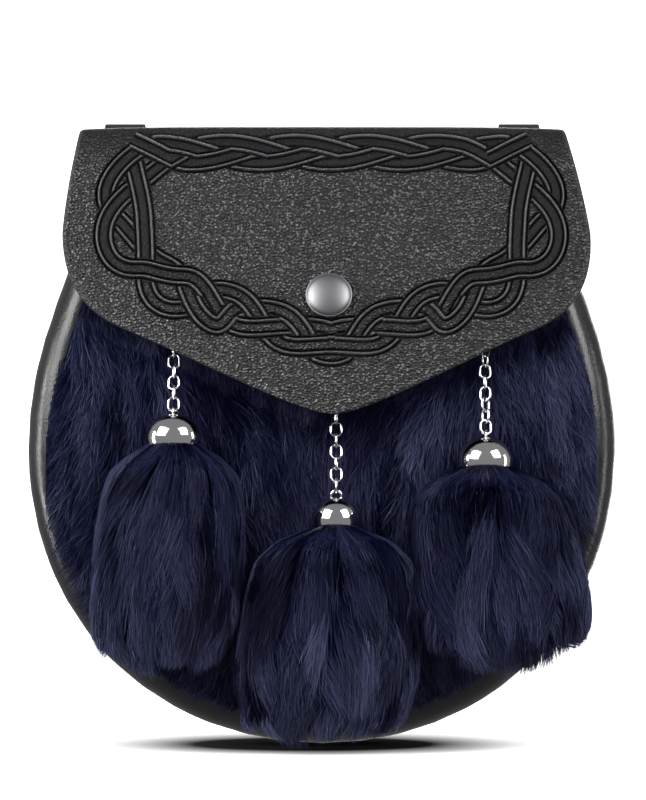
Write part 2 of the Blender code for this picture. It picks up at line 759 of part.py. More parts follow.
def link_mesh():
    """An oval link standing in the XZ plane: a wire ring whose two ends are moved apart."""
    bpy.ops.mesh.primitive_torus_add(
        major_segments=LINK_SIDES, minor_segments=WIRE_SIDES,
        major_radius=(LINK_WIDTH - WIRE_DIAMETER) / 2, minor_radius=WIRE_DIAMETER / 2,
    )
    ring = bpy.context.object
    data = ring.data
    bpy.data.objects.remove(ring)
    data.transform(Matrix.Rotation(math.pi / 2, 4, "X"))
    for point in data.vertices:
        if abs(point.co.z) > WIRE_DIAMETER:
            point.co.z += math.copysign((LINK_LENGTH - LINK_WIDTH) / 2, point.co.z)
    data.shade_smooth()
    data.name = "link"
    data.materials.append(material("polished_metal"))
    return data


def make_chain(tassel, data):
    """A chain's links from the cap's eye up to the anchor, each in the one below, and the anchor."""
    points, lean = chain_line(tassel)
    tilt = Matrix.Rotation(-lean, 4, "X")
    for index, (below, above) in enumerate(zip(points, points[1:])):
        made = bpy.data.objects.new(f"chain_{tassel['side']}_link_{index + 1:02d}", data)
        SPORRAN.objects.link(made)
        forward, height = ((first + second) / 2 for first, second in zip(below, above))
        angle = tassel["turn"] + 90 * (index + 1) + tassel["twist"] * (index + 1) / (tassel["links"] + 1)
        angle += tassel["sway"] * math.sin(SWAY_STEP * index)
        spin = Matrix.Rotation(math.radians(angle), 4, "Z")
        made.matrix_world = Matrix.Translation(place(tassel["right"], forward, height)) @ tilt @ spin
    make_anchor(tassel, points[-1], lean)


def make_anchor(tassel, end, lean):
    """The plate and wire arch under the flap that hold a chain's last link."""
    hold = (EYE_WIRE + LINK_PLAY) / 2
    forward = end[0] + hold * math.sin(lean)
    height = end[1] - hold * math.cos(lean)
    radius = ANCHOR_DIAMETER / 2
    out = hide_normal(tassel["right"], height, radius)
    wire = place(tassel["right"], forward, height)
    base = place(tassel["right"], pressed_fur(tassel["right"], height), height)
    arch = ANCHOR_RISE - EYE_WIRE / 2
    reach = (wire - base).dot(out)
    foot = wire - out * (reach - GAP)
    plate = reach - GAP - arch
    profile = [(0, plate), (radius, plate), (radius, 0), (0, 0)]
    frame = frame_at(foot, out, Vector((1, 0, 0)))
    made = turned_object("anchor_" + tassel["side"], profile, frame, "gunmetal", CAP_SIDES)
    lift = frame_at(foot + out * plate, out, Vector((1, 0, 0)))
    arch_wire = eye_wire("anchor_" + tassel["side"] + "_arch", ANCHOR_RISE, plate)
    join(made, curve_as_mesh(arch_wire, lift, "gunmetal"))


def make_tassel(tassel):
    """A fur tassel: a head inside the cap and, below the rim, fur in locks that end in tips."""
    length = tassel["length"]
    cap_radius = tassel["cap_diameter"] / 2
    neck = (cap_radius - CAP_WALL) * math.cos(CAP_CURL) - 2 * GAP
    head = CAP_WIDEST * CAP_HEIGHT
    downs = [-head, -head, 0] + [length * down for down in column(TASSEL_SECTIONS, "down")]
    wides = [0, neck, neck] + [tassel["width"] / 2 * wide for wide in column(TASSEL_SECTIONS, "wide")]
    rows = len(downs)
    form = bmesh.new()
    bmesh.ops.create_uvsphere(form, u_segments=2 * TASSEL_LOCKS, v_segments=rows, radius=1)
    for point in form.verts:
        row = rows * math.acos(max(-1.0, min(1.0, point.co.z))) / math.pi
        around = math.atan2(point.co.y, point.co.x)
        down = float(np.interp(row, range(rows), downs))
        wide = float(np.interp(row, range(rows + 1), wides + [0]))
        spread = ease(down / (TASSEL_SPREAD * length))
        flute = spread * (math.cos(TASSEL_LOCKS * around) - 1) / 2
        wide *= 1 + TASSEL_FLUTE * flute
        deep = wide * (1 + (tassel["depth"] / tassel["width"] - 1) * spread)
        lean = tassel["lean"] * ease(down / length)
        swell = max(deep - cap_radius, 0)
        down += TASSEL_TIP * length * flute
        point.co = (lean + wide * math.cos(around), deep * math.sin(around) - swell, -down)
    made = mesh_object("tassel_" + tassel["side"], form, "navy_fur")
    made.location = place(tassel["right"], tassel_axis(tassel), cap_rim(tassel))


def main():
    link = link_mesh()
    make_back_panel()
    make_gusset()
    make_fur_front()
    make_flap()
    make_snap()
    make_belt_loops()
    for tassel in TASSELS:
        make_cap(tassel)
        make_chain(tassel, link)
        make_tassel(tassel)


for leftover in list(bpy.data.objects):
    bpy.data.objects.remove(leftover)
SPORRAN = bpy.data.collections.new("Sporran")
HELPERS = bpy.data.collections.new("Helpers")
bpy.context.scene.collection.children.link(SPORRAN)
bpy.context.scene.collection.children.link(HELPERS)
main()
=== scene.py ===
# %% [markdown]
# # A sporran pouch
#
# A sporran is the pouch that hangs in front of a kilt. This one is a round leather pouch with a rolled rim,
# a dyed fur front, an embossed flap that folds over from the back, and three fur tassels on chains.
#
# The CAD model gives each solid its place. Here every visible surface gets its real form and finish: the
# grain and the interlace of the flap, the hairs of the fur, the polish of the caps.

# %% Load the CAD frame
import json
import math

import bmesh
import bpy
import numpy as np
from mathutils import Matrix, Vector

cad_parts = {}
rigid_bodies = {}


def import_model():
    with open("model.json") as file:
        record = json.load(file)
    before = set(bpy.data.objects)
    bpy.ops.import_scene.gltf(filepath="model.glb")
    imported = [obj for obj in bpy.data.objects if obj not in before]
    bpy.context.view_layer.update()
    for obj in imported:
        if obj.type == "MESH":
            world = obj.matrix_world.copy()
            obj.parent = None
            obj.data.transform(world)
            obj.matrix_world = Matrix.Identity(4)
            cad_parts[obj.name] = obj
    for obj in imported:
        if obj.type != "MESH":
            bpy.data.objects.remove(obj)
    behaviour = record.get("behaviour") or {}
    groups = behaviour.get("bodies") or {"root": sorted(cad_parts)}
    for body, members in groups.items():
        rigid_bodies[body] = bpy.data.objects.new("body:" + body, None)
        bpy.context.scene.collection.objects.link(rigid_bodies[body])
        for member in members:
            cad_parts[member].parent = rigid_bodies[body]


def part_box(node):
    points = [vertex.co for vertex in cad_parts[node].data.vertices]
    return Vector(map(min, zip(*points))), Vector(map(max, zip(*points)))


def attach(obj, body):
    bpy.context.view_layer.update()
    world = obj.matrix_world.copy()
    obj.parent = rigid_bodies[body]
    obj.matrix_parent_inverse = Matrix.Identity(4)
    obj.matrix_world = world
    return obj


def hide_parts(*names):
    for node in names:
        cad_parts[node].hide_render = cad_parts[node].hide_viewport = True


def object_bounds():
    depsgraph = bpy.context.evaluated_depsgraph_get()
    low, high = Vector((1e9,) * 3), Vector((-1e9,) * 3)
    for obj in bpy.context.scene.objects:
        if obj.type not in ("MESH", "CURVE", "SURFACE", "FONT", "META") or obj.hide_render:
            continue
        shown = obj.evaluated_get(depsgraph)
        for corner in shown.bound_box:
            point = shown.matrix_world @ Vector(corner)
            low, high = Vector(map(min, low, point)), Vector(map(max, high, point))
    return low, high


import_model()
cad_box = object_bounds()
SCENE = bpy.context.scene
random = np.random.default_rng(7)
print("CAD box", [[round(value, 4) for value in corner] for corner in cad_box])

# %% [markdown]
# The photograph is taken straight from the front with a long lens, so the pouch shows no strong
# perspective. The picture is higher than wide, so the lens is worked out from the height it has to show.

# %% Camera
CAMERA_DISTANCE = 1.5
MIDDLE_OF_DEPTH = -0.034
PICTURE_CENTRE = (0.0003, -0.0722)
PICTURE_HEIGHT = 0.2586

lens = bpy.data.cameras.new("camera")
lens.lens = lens.sensor_width * CAMERA_DISTANCE / PICTURE_HEIGHT
camera = bpy.data.objects.new("camera", lens)
camera.location = (PICTURE_CENTRE[0], MIDDLE_OF_DEPTH - CAMERA_DISTANCE, PICTURE_CENTRE[1])
camera.rotation_euler = (math.pi / 2, 0, 0)
SCENE.collection.objects.link(camera)
SCENE.camera = camera
print("lens", round(lens.lens, 1), "mm")

# %% [markdown]
# The same lengths as in the CAD source place everything: forward is measured from the back panel's outer
# face, and height from the pouch's lowest point. All lengths are metres.

# %% Sizes of the leather body
GAP = 0.0003
BACK_Y, HANG_HEIGHT = -0.0087, 0.1833
POUCH_WIDTH, POUCH_HEIGHT, POUCH_DEPTH = 0.190, 0.183, 0.036
WIDEST_HEIGHT, MOUTH_WIDTH = 0.096, 0.144
LOWER_FULLNESS, UPPER_FULLNESS, MOUTH_TAPER = 0.58, 0.40, 0.30
RIM_WIDTH, RIM_DEPTH, RIM_START = 0.0085, 0.012, 0.4
GUSSET_LEATHER, BACK_LEATHER = 0.002, 0.0025
BACK_EDGE_INSET, BACK_RISE, BACK_CORNER = 0.0012, 0.004, 0.012
DEPTH_HEIGHTS = (0.00, 0.14, 0.34, 0.55, 0.72, 0.86, 1.00)
DEPTH_SHARES = (0.90, 0.97, 1.00, 0.98, 0.89, 0.77, 0.65)
CURVE_POINTS = 60


def place(right, forward, height):
    right, forward, height = np.broadcast_arrays(right, forward, height)
    return np.stack([right, BACK_Y - forward, height - HANG_HEIGHT], axis=-1)


def ease(share):
    share = np.clip(share, 0.0, 1.0)
    return share * share * (3 - 2 * share)


def bezier(start, start_handle, end_handle, end):
    share = np.linspace(0, 1, CURVE_POINTS)[:, None]
    start, start_handle, end_handle, end = map(np.array, (start, start_handle, end_handle, end))
    return ((1 - share) ** 3 * start + 3 * share * (1 - share) ** 2 * start_handle
            + 3 * share**2 * (1 - share) * end_handle + share**3 * end)


def smooth_line(value, places, values):
    """A curve through the points that doesn't kink at them, as a row of soft leather sections has."""
    places, values = np.array(places), np.array(values)
    slopes = np.gradient(values, places)
    index = np.clip(np.searchsorted(places, value) - 1, 0, len(places) - 2)
    step = places[index + 1] - places[index]
    share = np.clip((value - places[index]) / step, 0, 1)
    first, second = values[index], values[index + 1]
    lift = share * (1 - share) ** 2 * slopes[index] - share**2 * (1 - share) * slopes[index + 1]
    return first + (second - first) * share * share * (3 - 2 * share) + step * lift


def reach_along(points):
    return np.concatenate([[0], np.cumsum(np.linalg.norm(np.diff(points, axis=0), axis=1))])


# %% Outline of the pouch
def pouch_outline():
    half, mouth, upper = POUCH_WIDTH / 2, MOUTH_WIDTH / 2, POUCH_HEIGHT - WIDEST_HEIGHT
    lower = bezier((0, 0), (LOWER_FULLNESS * half, 0),
                   (half, WIDEST_HEIGHT * (1 - LOWER_FULLNESS)), (half, WIDEST_HEIGHT))
    above = bezier((half, WIDEST_HEIGHT), (half, WIDEST_HEIGHT + UPPER_FULLNESS * upper),
                   (mouth + MOUTH_TAPER * (half - mouth), POUCH_HEIGHT - MOUTH_TAPER * upper),
                   (mouth, POUCH_HEIGHT))
    return np.concatenate([lower, above[1:]])


OUTLINE = pouch_outline()
OUTLINE_REACH = reach_along(OUTLINE)
OUTLINE_TANGENT = np.gradient(OUTLINE, OUTLINE_REACH, axis=0)


def outline_at(along, inset):
    """(right, height) on the outline, from the left mouth corner at -1 to the right one at 1."""
    reach = np.abs(along) * OUTLINE_REACH[-1]
    right, height, slope_right, slope_height = (
        np.interp(reach, OUTLINE_REACH, values)
        for values in (OUTLINE[:, 0], OUTLINE[:, 1], OUTLINE_TANGENT[:, 0], OUTLINE_TANGENT[:, 1])
    )
    length = np.hypot(slope_right, slope_height)
    right = right - inset * slope_height / length
    height = height + inset * slope_right / length
    return np.sign(along + 1e-12) * right, height


def pouch_depth(height):
    return smooth_line(height / POUCH_HEIGHT, DEPTH_HEIGHTS, DEPTH_SHARES) * POUCH_DEPTH


print("outline", round(2 * OUTLINE_REACH[-1], 3), "m round")

# %% [markdown]
# The fur panel fills the pouch's front inside the rim. Its hide bulges a little, and the fur on it is
# pressed flat under the flap and stands up below it.

# %% The fur panel's face
HIDE_THICKNESS, HIDE_DROP, FRONT_BULGE = 0.002, 0.004, 0.003
FUR_PRESSED, FUR_LOFT, FUR_EDGE, FUR_EDGE_FADE, FUR_RELEASE = 0.0025, 0.0045, 0.001, 0.012, 0.010
PANEL_TOP = POUCH_HEIGHT - HIDE_DROP
panel_line = np.stack(outline_at(np.linspace(0, 1, 160), RIM_WIDTH + GAP), axis=-1)
widest = int(panel_line[:, 0].argmax())
PANEL_LOWER, PANEL_UPPER = panel_line[: widest + 1], panel_line[widest:]
PANEL_HALF = PANEL_LOWER[-1, 0]


def panel_half_width(height):
    return np.interp(np.maximum(height, PANEL_UPPER[0, 1]), PANEL_UPPER[:, 1], PANEL_UPPER[:, 0])


def panel_floor(right):
    return np.interp(np.abs(right), PANEL_LOWER[:, 0], PANEL_LOWER[:, 1])


def hide_face(right, height):
    across = right / panel_half_width(height)
    middle = (PANEL_TOP + PANEL_LOWER[0, 1]) / 2
    upright = (height - middle) / (PANEL_TOP - middle)
    return pouch_depth(height) + FRONT_BULGE * np.maximum(0, 1 - across**2) * np.maximum(0, 1 - upright**2)


def pressed_fur(right, height):
    return hide_face(right, height) + FUR_PRESSED


# %% [markdown]
# The flap is one strip of thick leather. It is sewn to the back, folds over the mouth and hangs down the
# front to a point. Its inner face is a path, and its width is spread over that path.

# %% The flap's path and its lower edge
FLAP_LEATHER, FLAP_WIDTH, FLAP_CREST_WIDTH, FLAP_WIDEST_DROP = 0.0026, 0.170, 0.158, 0.0368
FLAP_DROP, FLAP_ROOT, FLAP_CURL, FLAP_SKEW = 0.0938, 0.0468, 0.0028, 0.0036
FOLD_CREST, FOLD_FULLNESS, FOLD_RISE, FOLD_SAG, FLAP_ROOM = 0.45, 0.55, 0.0145, 0.0008, 0.001
FLAP_TIP_ROOM, FLAP_FLARE = 0.01284, 1.3
CREST_HEIGHT = POUCH_HEIGHT + FOLD_RISE + FLAP_LEATHER
FLAP_TIP_HEIGHT = CREST_HEIGHT - FLAP_DROP
FLAP_SHOULDER = POUCH_HEIGHT - RIM_DEPTH / 2
flap_corners = (
    bezier((1.000, 0.390), (1.000, 0.580), (0.900, 0.665), (0.751, 0.720)),
    bezier((0.751, 0.720), (0.500, 0.815), (0.130, 0.997), (0.000, 1.000)),
)
FLAP_LOWER = np.concatenate(flap_corners)[::-1] * (FLAP_WIDTH / 2, -FLAP_DROP) + (0, CREST_HEIGHT)


def flap_floor(right):
    return np.interp(np.abs(right), FLAP_LOWER[:, 0], FLAP_LOWER[:, 1])


def flap_inner(height):
    drop = (POUCH_HEIGHT - height) / (POUCH_HEIGHT - FLAP_TIP_HEIGHT)
    return pressed_fur(0, np.minimum(height, PANEL_TOP)) + FLAP_ROOM + np.maximum(drop, 0) * FLAP_TIP_ROOM


def flap_path():
    shoulder, rise, seat = FLAP_SHOULDER, POUCH_HEIGHT + FOLD_RISE, -GAP
    front = float(flap_inner(shoulder))
    slope = (float(flap_inner(shoulder - FOLD_RISE)) - front) / FOLD_RISE
    turn = POUCH_HEIGHT + BACK_RISE
    crest = seat + FOLD_CREST * (front - seat)
    over_back = bezier((seat, turn), (seat, turn + FOLD_FULLNESS * (rise - turn)),
                       (crest - FOLD_FULLNESS * (crest - seat), rise), (crest, rise))
    fall = FOLD_FULLNESS * (rise - shoulder)
    over_front = bezier((crest, rise), (crest + FOLD_FULLNESS * (front - crest), rise),
                        (front - slope * fall, shoulder + fall), (front, shoulder))
    heights = np.linspace(shoulder, FLAP_TIP_HEIGHT - FLAP_LEATHER, CURVE_POINTS)
    down = np.stack([flap_inner(heights), heights], axis=-1)
    root = np.array([(seat, CREST_HEIGHT - FLAP_ROOT)])
    return np.concatenate([root, over_back, over_front[1:], down[1:]])


FLAP_PATH = flap_path()
FLAP_REACH = reach_along(FLAP_PATH)
FLAP_SLOPE = np.gradient(FLAP_PATH, FLAP_REACH, axis=0)
CREST_ROW = int(FLAP_PATH[:, 1].argmax())
print("flap", round(FLAP_REACH[-1], 4), "m long, crest at", round(FLAP_REACH[CREST_ROW], 4))


# %% A point of the flap
def flap_reach_at(height):
    return np.interp(-height, -FLAP_PATH[CREST_ROW:, 1], FLAP_REACH[CREST_ROW:])


def flap_half_width(height, past_crest):
    drop = np.clip((CREST_HEIGHT - FLAP_LEATHER - height) / (FLAP_WIDEST_DROP - FLAP_LEATHER), 0, 1)
    spread = (FLAP_WIDTH - FLAP_CREST_WIDTH) * (1 - (1 - drop) ** FLAP_FLARE)
    return (FLAP_CREST_WIDTH + np.where(past_crest, spread, 0)) / 2


def flap_surface(right_share, reach, offset):
    """Points of the flap at a share of its half width and a length along its path, off its inner face."""
    forward, height, ahead, up = (
        np.interp(reach, FLAP_REACH, values)
        for values in (FLAP_PATH[:, 0], FLAP_PATH[:, 1], FLAP_SLOPE[:, 0], FLAP_SLOPE[:, 1])
    )
    past_crest = reach > FLAP_REACH[CREST_ROW]
    drop = np.where(past_crest, (CREST_HEIGHT - height) / FLAP_DROP, 0)
    right = right_share * flap_half_width(height, past_crest) + FLAP_SKEW * drop
    front_share = ease((forward + GAP) / (flap_inner(POUCH_HEIGHT) + GAP))
    folded = ease((height - POUCH_HEIGHT) / FOLD_RISE)
    forward = forward - FLAP_CURL * (1 + drop) * front_share * right_share**2
    height = height - FOLD_SAG * folded * right_share**6
    length = np.hypot(ahead, up)
    return place(right, forward - offset * up / length, height + offset * ahead / length)


# %% [markdown]
# A few helpers make the pieces. Each starts from one of Blender's own operators: a grid that a formula lays
# in its place, a profile that is spun, or a section that is carried along a path.

# %% Helpers that make meshes
def mesh_of(form, name):
    data = bpy.data.meshes.new(name)
    form.to_mesh(data)
    form.free()
    return data


def coordinates(form):
    return np.array([point.co for point in form.verts])


def lay(form, points):
    for point, place_now in zip(form.verts, points):
        point.co = place_now


def slab(columns, rows, shape):
    """A closed sheet: a unit grid is extruded once, and shape lays (across, down, layer) in place."""
    form = bmesh.new()
    bmesh.ops.create_grid(form, x_segments=columns, y_segments=rows, size=1)
    made = bmesh.ops.extrude_face_region(form, geom=form.faces[:], use_keep_orig=True)
    new_points = [item for item in made["geom"] if isinstance(item, bmesh.types.BMVert)]
    bmesh.ops.translate(form, vec=(0, 0, 1), verts=new_points)
    across, down, layer = coordinates(form).T
    lay(form, shape(across, (1 - down) / 2, layer))
    bmesh.ops.recalc_face_normals(form, faces=form.faces)
    return form


def turned(profile, steps, matrix):
    """A profile of (radius, height) spun about Z and set in its place."""
    form = bmesh.new()
    points = [form.verts.new((radius, 0, height)) for radius, height in profile]
    edges = [form.edges.new(pair) for pair in zip(points, points[1:])]
    bmesh.ops.spin(form, geom=points + edges, cent=(0, 0, 0), axis=(0, 0, 1), angle=2 * math.pi,
                   steps=steps, use_merge=True)
    bmesh.ops.remove_doubles(form, verts=form.verts, dist=1e-6)
    bmesh.ops.recalc_face_normals(form, faces=form.faces)
    bmesh.ops.transform(form, matrix=matrix, verts=form.verts)
    return form


def sweep(path, side, section, closed=False):
    """A tube: the grid's rows follow the path, and its columns go round the section (side, out)."""
    path, section = np.array(path, float), np.array(section, float)
    rows, around = len(path), len(section)
    tangent = (np.roll(path, -1, 0) - np.roll(path, 1, 0)) if closed else np.gradient(path, axis=0)
    tangent /= np.linalg.norm(tangent, axis=1, keepdims=True)
    out = np.cross(tangent, np.broadcast_to(side, path.shape))
    out /= np.linalg.norm(out, axis=1, keepdims=True)
    beside = np.cross(out, tangent)
    form = bmesh.new()
    bands = rows if closed else rows - 1
    bmesh.ops.create_grid(form, x_segments=around, y_segments=bands, size=1)
    unit = coordinates(form)
    column = np.rint((unit[:, 0] + 1) / 2 * around).astype(int) % around
    row = np.rint((unit[:, 1] + 1) / 2 * bands).astype(int) % rows
    lay(form, path[row] + beside[row] * section[column, :1] + out[row] * section[column, 1:])
    bmesh.ops.remove_doubles(form, verts=form.verts, dist=1e-7)
    if not closed:
        bmesh.ops.holes_fill(form, edges=[edge for edge in form.edges if edge.is_boundary])
    bmesh.ops.recalc_face_normals(form, faces=form.faces)
    return form


def gathered(forms):
    whole = bmesh.new()
    for form in forms:
        data = mesh_of(form, "share")
        whole.from_mesh(data)
        bpy.data.meshes.remove(data)
    return whole


def circle(radius, sides):
    turns = np.arange(sides) * 2 * math.pi / sides
    return np.stack([radius * np.cos(turns), radius * np.sin(turns)], axis=-1)


# %% A finished piece
def piece(name, form, finish, nodes=(), marks=None, sharp=40):
    """A bmesh made an object that rides on the sporran and stands for its CAD nodes."""
    data = mesh_of(form, name)
    data.shade_smooth()
    data.set_sharp_from_angle(angle=math.radians(sharp))
    for mark, values in (marks or {}).items():
        data.attributes.new(mark, "FLOAT", "POINT").data.foreach_set("value", values)
    data.materials.append(finish)
    made = bpy.data.objects.new(name, data)
    SCENE.collection.objects.link(made)
    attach(made, "root")
    if nodes:
        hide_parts(*nodes)
    print(name, sum(len(face.vertices) - 2 for face in data.polygons), "triangles")


# %% [markdown]
# Every finish is made of a few shared effects. A small helper lays out nodes and links, and each effect is
# a node group with named inputs that every material sets for itself.

# %% Helpers that make materials
class Nodes:
    """Adds nodes to a tree and links them by name."""

    def __init__(self, tree):
        self.tree = tree

    def plug(self, value, socket):
        if isinstance(value, bpy.types.NodeSocket):
            self.tree.links.new(value, socket)
        else:
            socket.default_value = value

    def feed(self, node, **inputs):
        """Sets or links inputs by name, where an underscore stands for a space."""
        for name, value in inputs.items():
            label = name.replace("_", " ")
            self.plug(value, next(item for item in node.inputs if item.name == label and item.enabled))
        return node

    def add(self, kind, settings=None, **inputs):
        node = self.tree.nodes.new("ShaderNode" + kind)
        for name, value in (settings or {}).items():
            setattr(node, name, value)
        return self.feed(node, **inputs)

    def in_order(self, kind, settings, values):
        """A node whose inputs take the values in their order."""
        node = self.add(kind, settings)
        for socket, value in zip(node.inputs, values):
            self.plug(value, socket)
        return node.outputs

    def vector(self, operation, *values):
        return self.in_order("VectorMath", {"operation": operation}, values)

    def math(self, operation, first, second):
        return self.in_order("Math", {"operation": operation}, (first, second))[0]

    def times(self, first, second):
        return self.math("MULTIPLY", first, second)

    def plus(self, first, second):
        return self.math("ADD", first, second)

    def span(self, value, low, high, to_low=0.0, to_high=1.0):
        return self.in_order("MapRange", {}, (value, low, high, to_low, to_high))[0]

    def mix(self, share, first, second):
        """Between two colours, each of them linked or given as (red, green, blue)."""
        node = self.add("Mix", {"data_type": "RGBA"})
        for index, value in ((0, share), (6, first), (7, second)):
            self.plug((*value, 1) if isinstance(value, tuple) else value, node.inputs[index])
        return node.outputs[2]

    def noise(self, vector, scale, detail=3.0, rough=0.5):
        node = self.add("TexNoise", Vector=vector, Scale=scale, Detail=detail, Roughness=rough)
        return node.outputs["Fac"]

    def mark(self, name):
        """A value that the mesh carries at its points."""
        return self.add("Attribute", {"attribute_name": name}).outputs["Fac"]

    def bump(self, height, strength, distance):
        return self.add("Bump", Height=height, Strength=strength, Distance=distance).outputs["Normal"]

    def use(self, name, **inputs):
        return self.add("Group", {"node_tree": bpy.data.node_groups[name]}, **inputs).outputs


def effect(name, inputs, outputs):
    """An empty node group with typed sockets, and the sockets that lead in and out."""
    tree = bpy.data.node_groups.new(name, "ShaderNodeTree")
    for label, kind, value in inputs:
        socket = tree.interface.new_socket(name=label, in_out="INPUT", socket_type="NodeSocket" + kind)
        if value is not None:
            socket.default_value = value
    for label, kind in outputs:
        tree.interface.new_socket(name=label, in_out="OUTPUT", socket_type="NodeSocket" + kind)
    return Nodes(tree), tree.nodes.new("NodeGroupInput").outputs, tree.nodes.new("NodeGroupOutput").inputs


def finish(name):
    """A material with its shader and its Object coordinates."""
    made = bpy.data.materials.new(name)
    made.use_nodes = True
    nodes = Nodes(made.node_tree)
    shader = made.node_tree.nodes["Principled BSDF"]
    return made, nodes, shader, nodes.add("TexCoord").outputs["Object"]


# %% Colours of the finishes
RIM_BLACK, STRAP_BLACK, SUEDE_GREY = (0.007, 0.007, 0.0078), (0.009, 0.008, 0.008), (0.022, 0.021, 0.021)
THREAD_GREY = (0.030, 0.029, 0.028)
PANEL_FACE = (0.010, 0.010, 0.012), (0.020, 0.020, 0.023)
PANEL_CUT = (0.030, 0.028, 0.028), (0.085, 0.080, 0.080)
FLAP_FACE = (0.005, 0.005, 0.0055), (0.009, 0.009, 0.0105)
FLAP_CUT = (0.012, 0.012, 0.013), (0.045, 0.045, 0.047)
SPECK_PAINTED_HIGHLIGHT_GREY, RIDGE_WEAR_AND_PAINTED_HIGHLIGHT_GREY = (0.080, 0.079, 0.086), (0.075, 0.075, 0.080)
SMOOTH_BLACK, GROOVE_PAINTED_SHADE_BLACK = (0.0045, 0.0045, 0.0055), (0.0006, 0.0006, 0.0008)
FUR_ROOT, FUR_TIP = (0.0004, 0.0011, 0.0170), (0.0700, 0.0740, 0.1450)
FUR_SHEEN = (0.60, 0.65, 1.0, 1)
STEEL, NICKEL, GUNMETAL = (0.70, 0.69, 0.71), (0.20, 0.20, 0.21), (0.30, 0.30, 0.32)

# %% [markdown]
# Grain is what makes leather look like leather. Embossed and pebbled leather has small round bumps with
# fine valleys between them, larger soft unevenness, and pores. The bumps catch the light as specks.

# %% Grain of leather
WARP, WARP_SCALE = (0.0007, 0.0007, 0.0007), 420.0
PORE_SCALE, BROAD_SCALE, UNEVEN_SCALE = 2600.0, 90.0, 800.0

nodes, entry, leave = effect(
    "leather_grain",
    [("Vector", "Vector", None), ("Pebble Size", "Float", 0.0011), ("Pebble", "Float", 1.0)],
    [("Height", "Float"), ("Speck", "Float"), ("Mottle", "Float")],
)
spot = entry["Vector"]
warp = nodes.add("TexNoise", Vector=spot, Scale=WARP_SCALE, Detail=2.0).outputs["Color"]
bent = nodes.vector("MULTIPLY_ADD", warp, WARP, spot)[0]
scale = nodes.math("DIVIDE", 1.0, entry["Pebble Size"])
cells = nodes.add("TexVoronoi", {"feature": "F1"}, Vector=bent, Scale=scale, Randomness=0.85)
round_top = nodes.math("POWER", nodes.span(cells.outputs["Distance"], 0.0, 0.66, 1.0, 0.0), 0.8)
pores = nodes.noise(spot, PORE_SCALE, 2.0)
broad = nodes.noise(spot, BROAD_SCALE)
pebbles = nodes.times(round_top, entry["Pebble"])
bumps = nodes.plus(pebbles, nodes.times(pores, 0.22))
uneven = nodes.times(pebbles, nodes.span(nodes.noise(spot, UNEVEN_SCALE, 2.0), 0.38, 0.62, 0.45, 1.0))
nodes.plug(nodes.plus(bumps, nodes.times(broad, 0.5)), leave["Height"])
nodes.plug(nodes.span(uneven, 0.20, 0.80), leave["Speck"])
nodes.plug(nodes.span(broad, 0.35, 0.65), leave["Mottle"])
print("group leather_grain")

# %% [markdown]
# Rubbed places are a shade lighter and duller than the rest. One group turns noise into soft patches and
# thin scuffs, for the leather's roughness and colour and for fingermarks on the metal.

# %% Wear
SCUFF_STRETCH, SCUFF_FINENESS = (1.0, 1.0, 7.0), 9.0

nodes, entry, leave = effect(
    "wear", [("Vector", "Vector", None), ("Scale", "Float", 60.0)],
    [("Patches", "Float"), ("Scuffs", "Float")],
)
patches = nodes.noise(entry["Vector"], entry["Scale"], 5.0, 0.6)
stretched = nodes.vector("MULTIPLY", entry["Vector"], SCUFF_STRETCH)[0]
scuffs = nodes.noise(stretched, nodes.times(entry["Scale"], SCUFF_FINENESS), 4.0, 0.7)
nodes.plug(nodes.span(patches, 0.4, 0.7), leave["Patches"])
nodes.plug(nodes.span(scuffs, 0.62, 0.72), leave["Scuffs"])
print("group wear")

# %% [markdown]
# Dyed fur is darkest at the roots, and its tips fade to a greyish blue. Each hair also differs a little
# from its neighbour. Every ribbon of fur carries two values, its place along the hair and its tint. The tint
# also holds painted light: the front's fur is painted paler to the right, and a tassel's lower hairs paler
# than its top.

# %% Tint of the fur
nodes, entry, leave = effect(
    "fur_tint", [("Along", "Float", 0.5), ("Tint", "Float", 0.5)],
    [("Color", "Color"), ("Roughness", "Float")],
)
pale = nodes.times(entry["Along"], nodes.span(entry["Tint"], 0.0, 1.0, 0.25, 1.15))
nodes.plug(nodes.mix(nodes.span(pale, 0.10, 1.10), FUR_ROOT, FUR_TIP), leave["Color"])
nodes.plug(nodes.span(entry["Tint"], 0.0, 1.0, 0.55, 0.36), leave["Roughness"])
print("group fur_tint")


# %% Leather of the pouch
def body_leather(name, pebble_size, pebble, tone, roughness):
    made, nodes, shader, spot = finish(name)
    grain = nodes.use("leather_grain", Vector=spot, Pebble_Size=pebble_size, Pebble=pebble)
    worn = nodes.use("wear", Vector=spot, Scale=70.0)
    colour = nodes.mix(nodes.times(worn["Patches"], 0.35), tone, tuple(2.1 * part for part in tone))
    rough = nodes.plus(nodes.times(grain["Mottle"], 0.10), roughness)
    nodes.feed(shader, Base_Color=colour, Roughness=nodes.plus(rough, nodes.times(worn["Scuffs"], 0.12)),
               Normal=nodes.bump(grain["Height"], 0.35, 0.00025))
    return made


rim_leather = body_leather("rim_leather", 0.0009, 0.40, RIM_BLACK, 0.25)
strap_leather = body_leather("strap_leather", 0.0008, 0.4, STRAP_BLACK, 0.42)


# %% Raw edge of the back panel
def raw_edge_leather():
    """The back panel: black grain on its face, and a paler fibrous cut round its edge."""
    made, nodes, shader, spot = finish("panel_leather")
    grain = nodes.use("leather_grain", Vector=spot, Pebble_Size=0.0010, Pebble=0.6)
    worn = nodes.use("wear", Vector=spot, Scale=60.0)
    cut = nodes.mark("cut")
    raw = nodes.mix(nodes.noise(spot, 1800.0), *PANEL_CUT)
    face = nodes.mix(nodes.times(worn["Patches"], 0.4), *PANEL_FACE)
    nodes.feed(shader, Base_Color=nodes.mix(cut, face, raw),
               Roughness=nodes.plus(nodes.times(cut, 0.3), 0.42),
               Normal=nodes.bump(grain["Height"], 0.4, 0.00025))
    return made


panel_leather = raw_edge_leather()
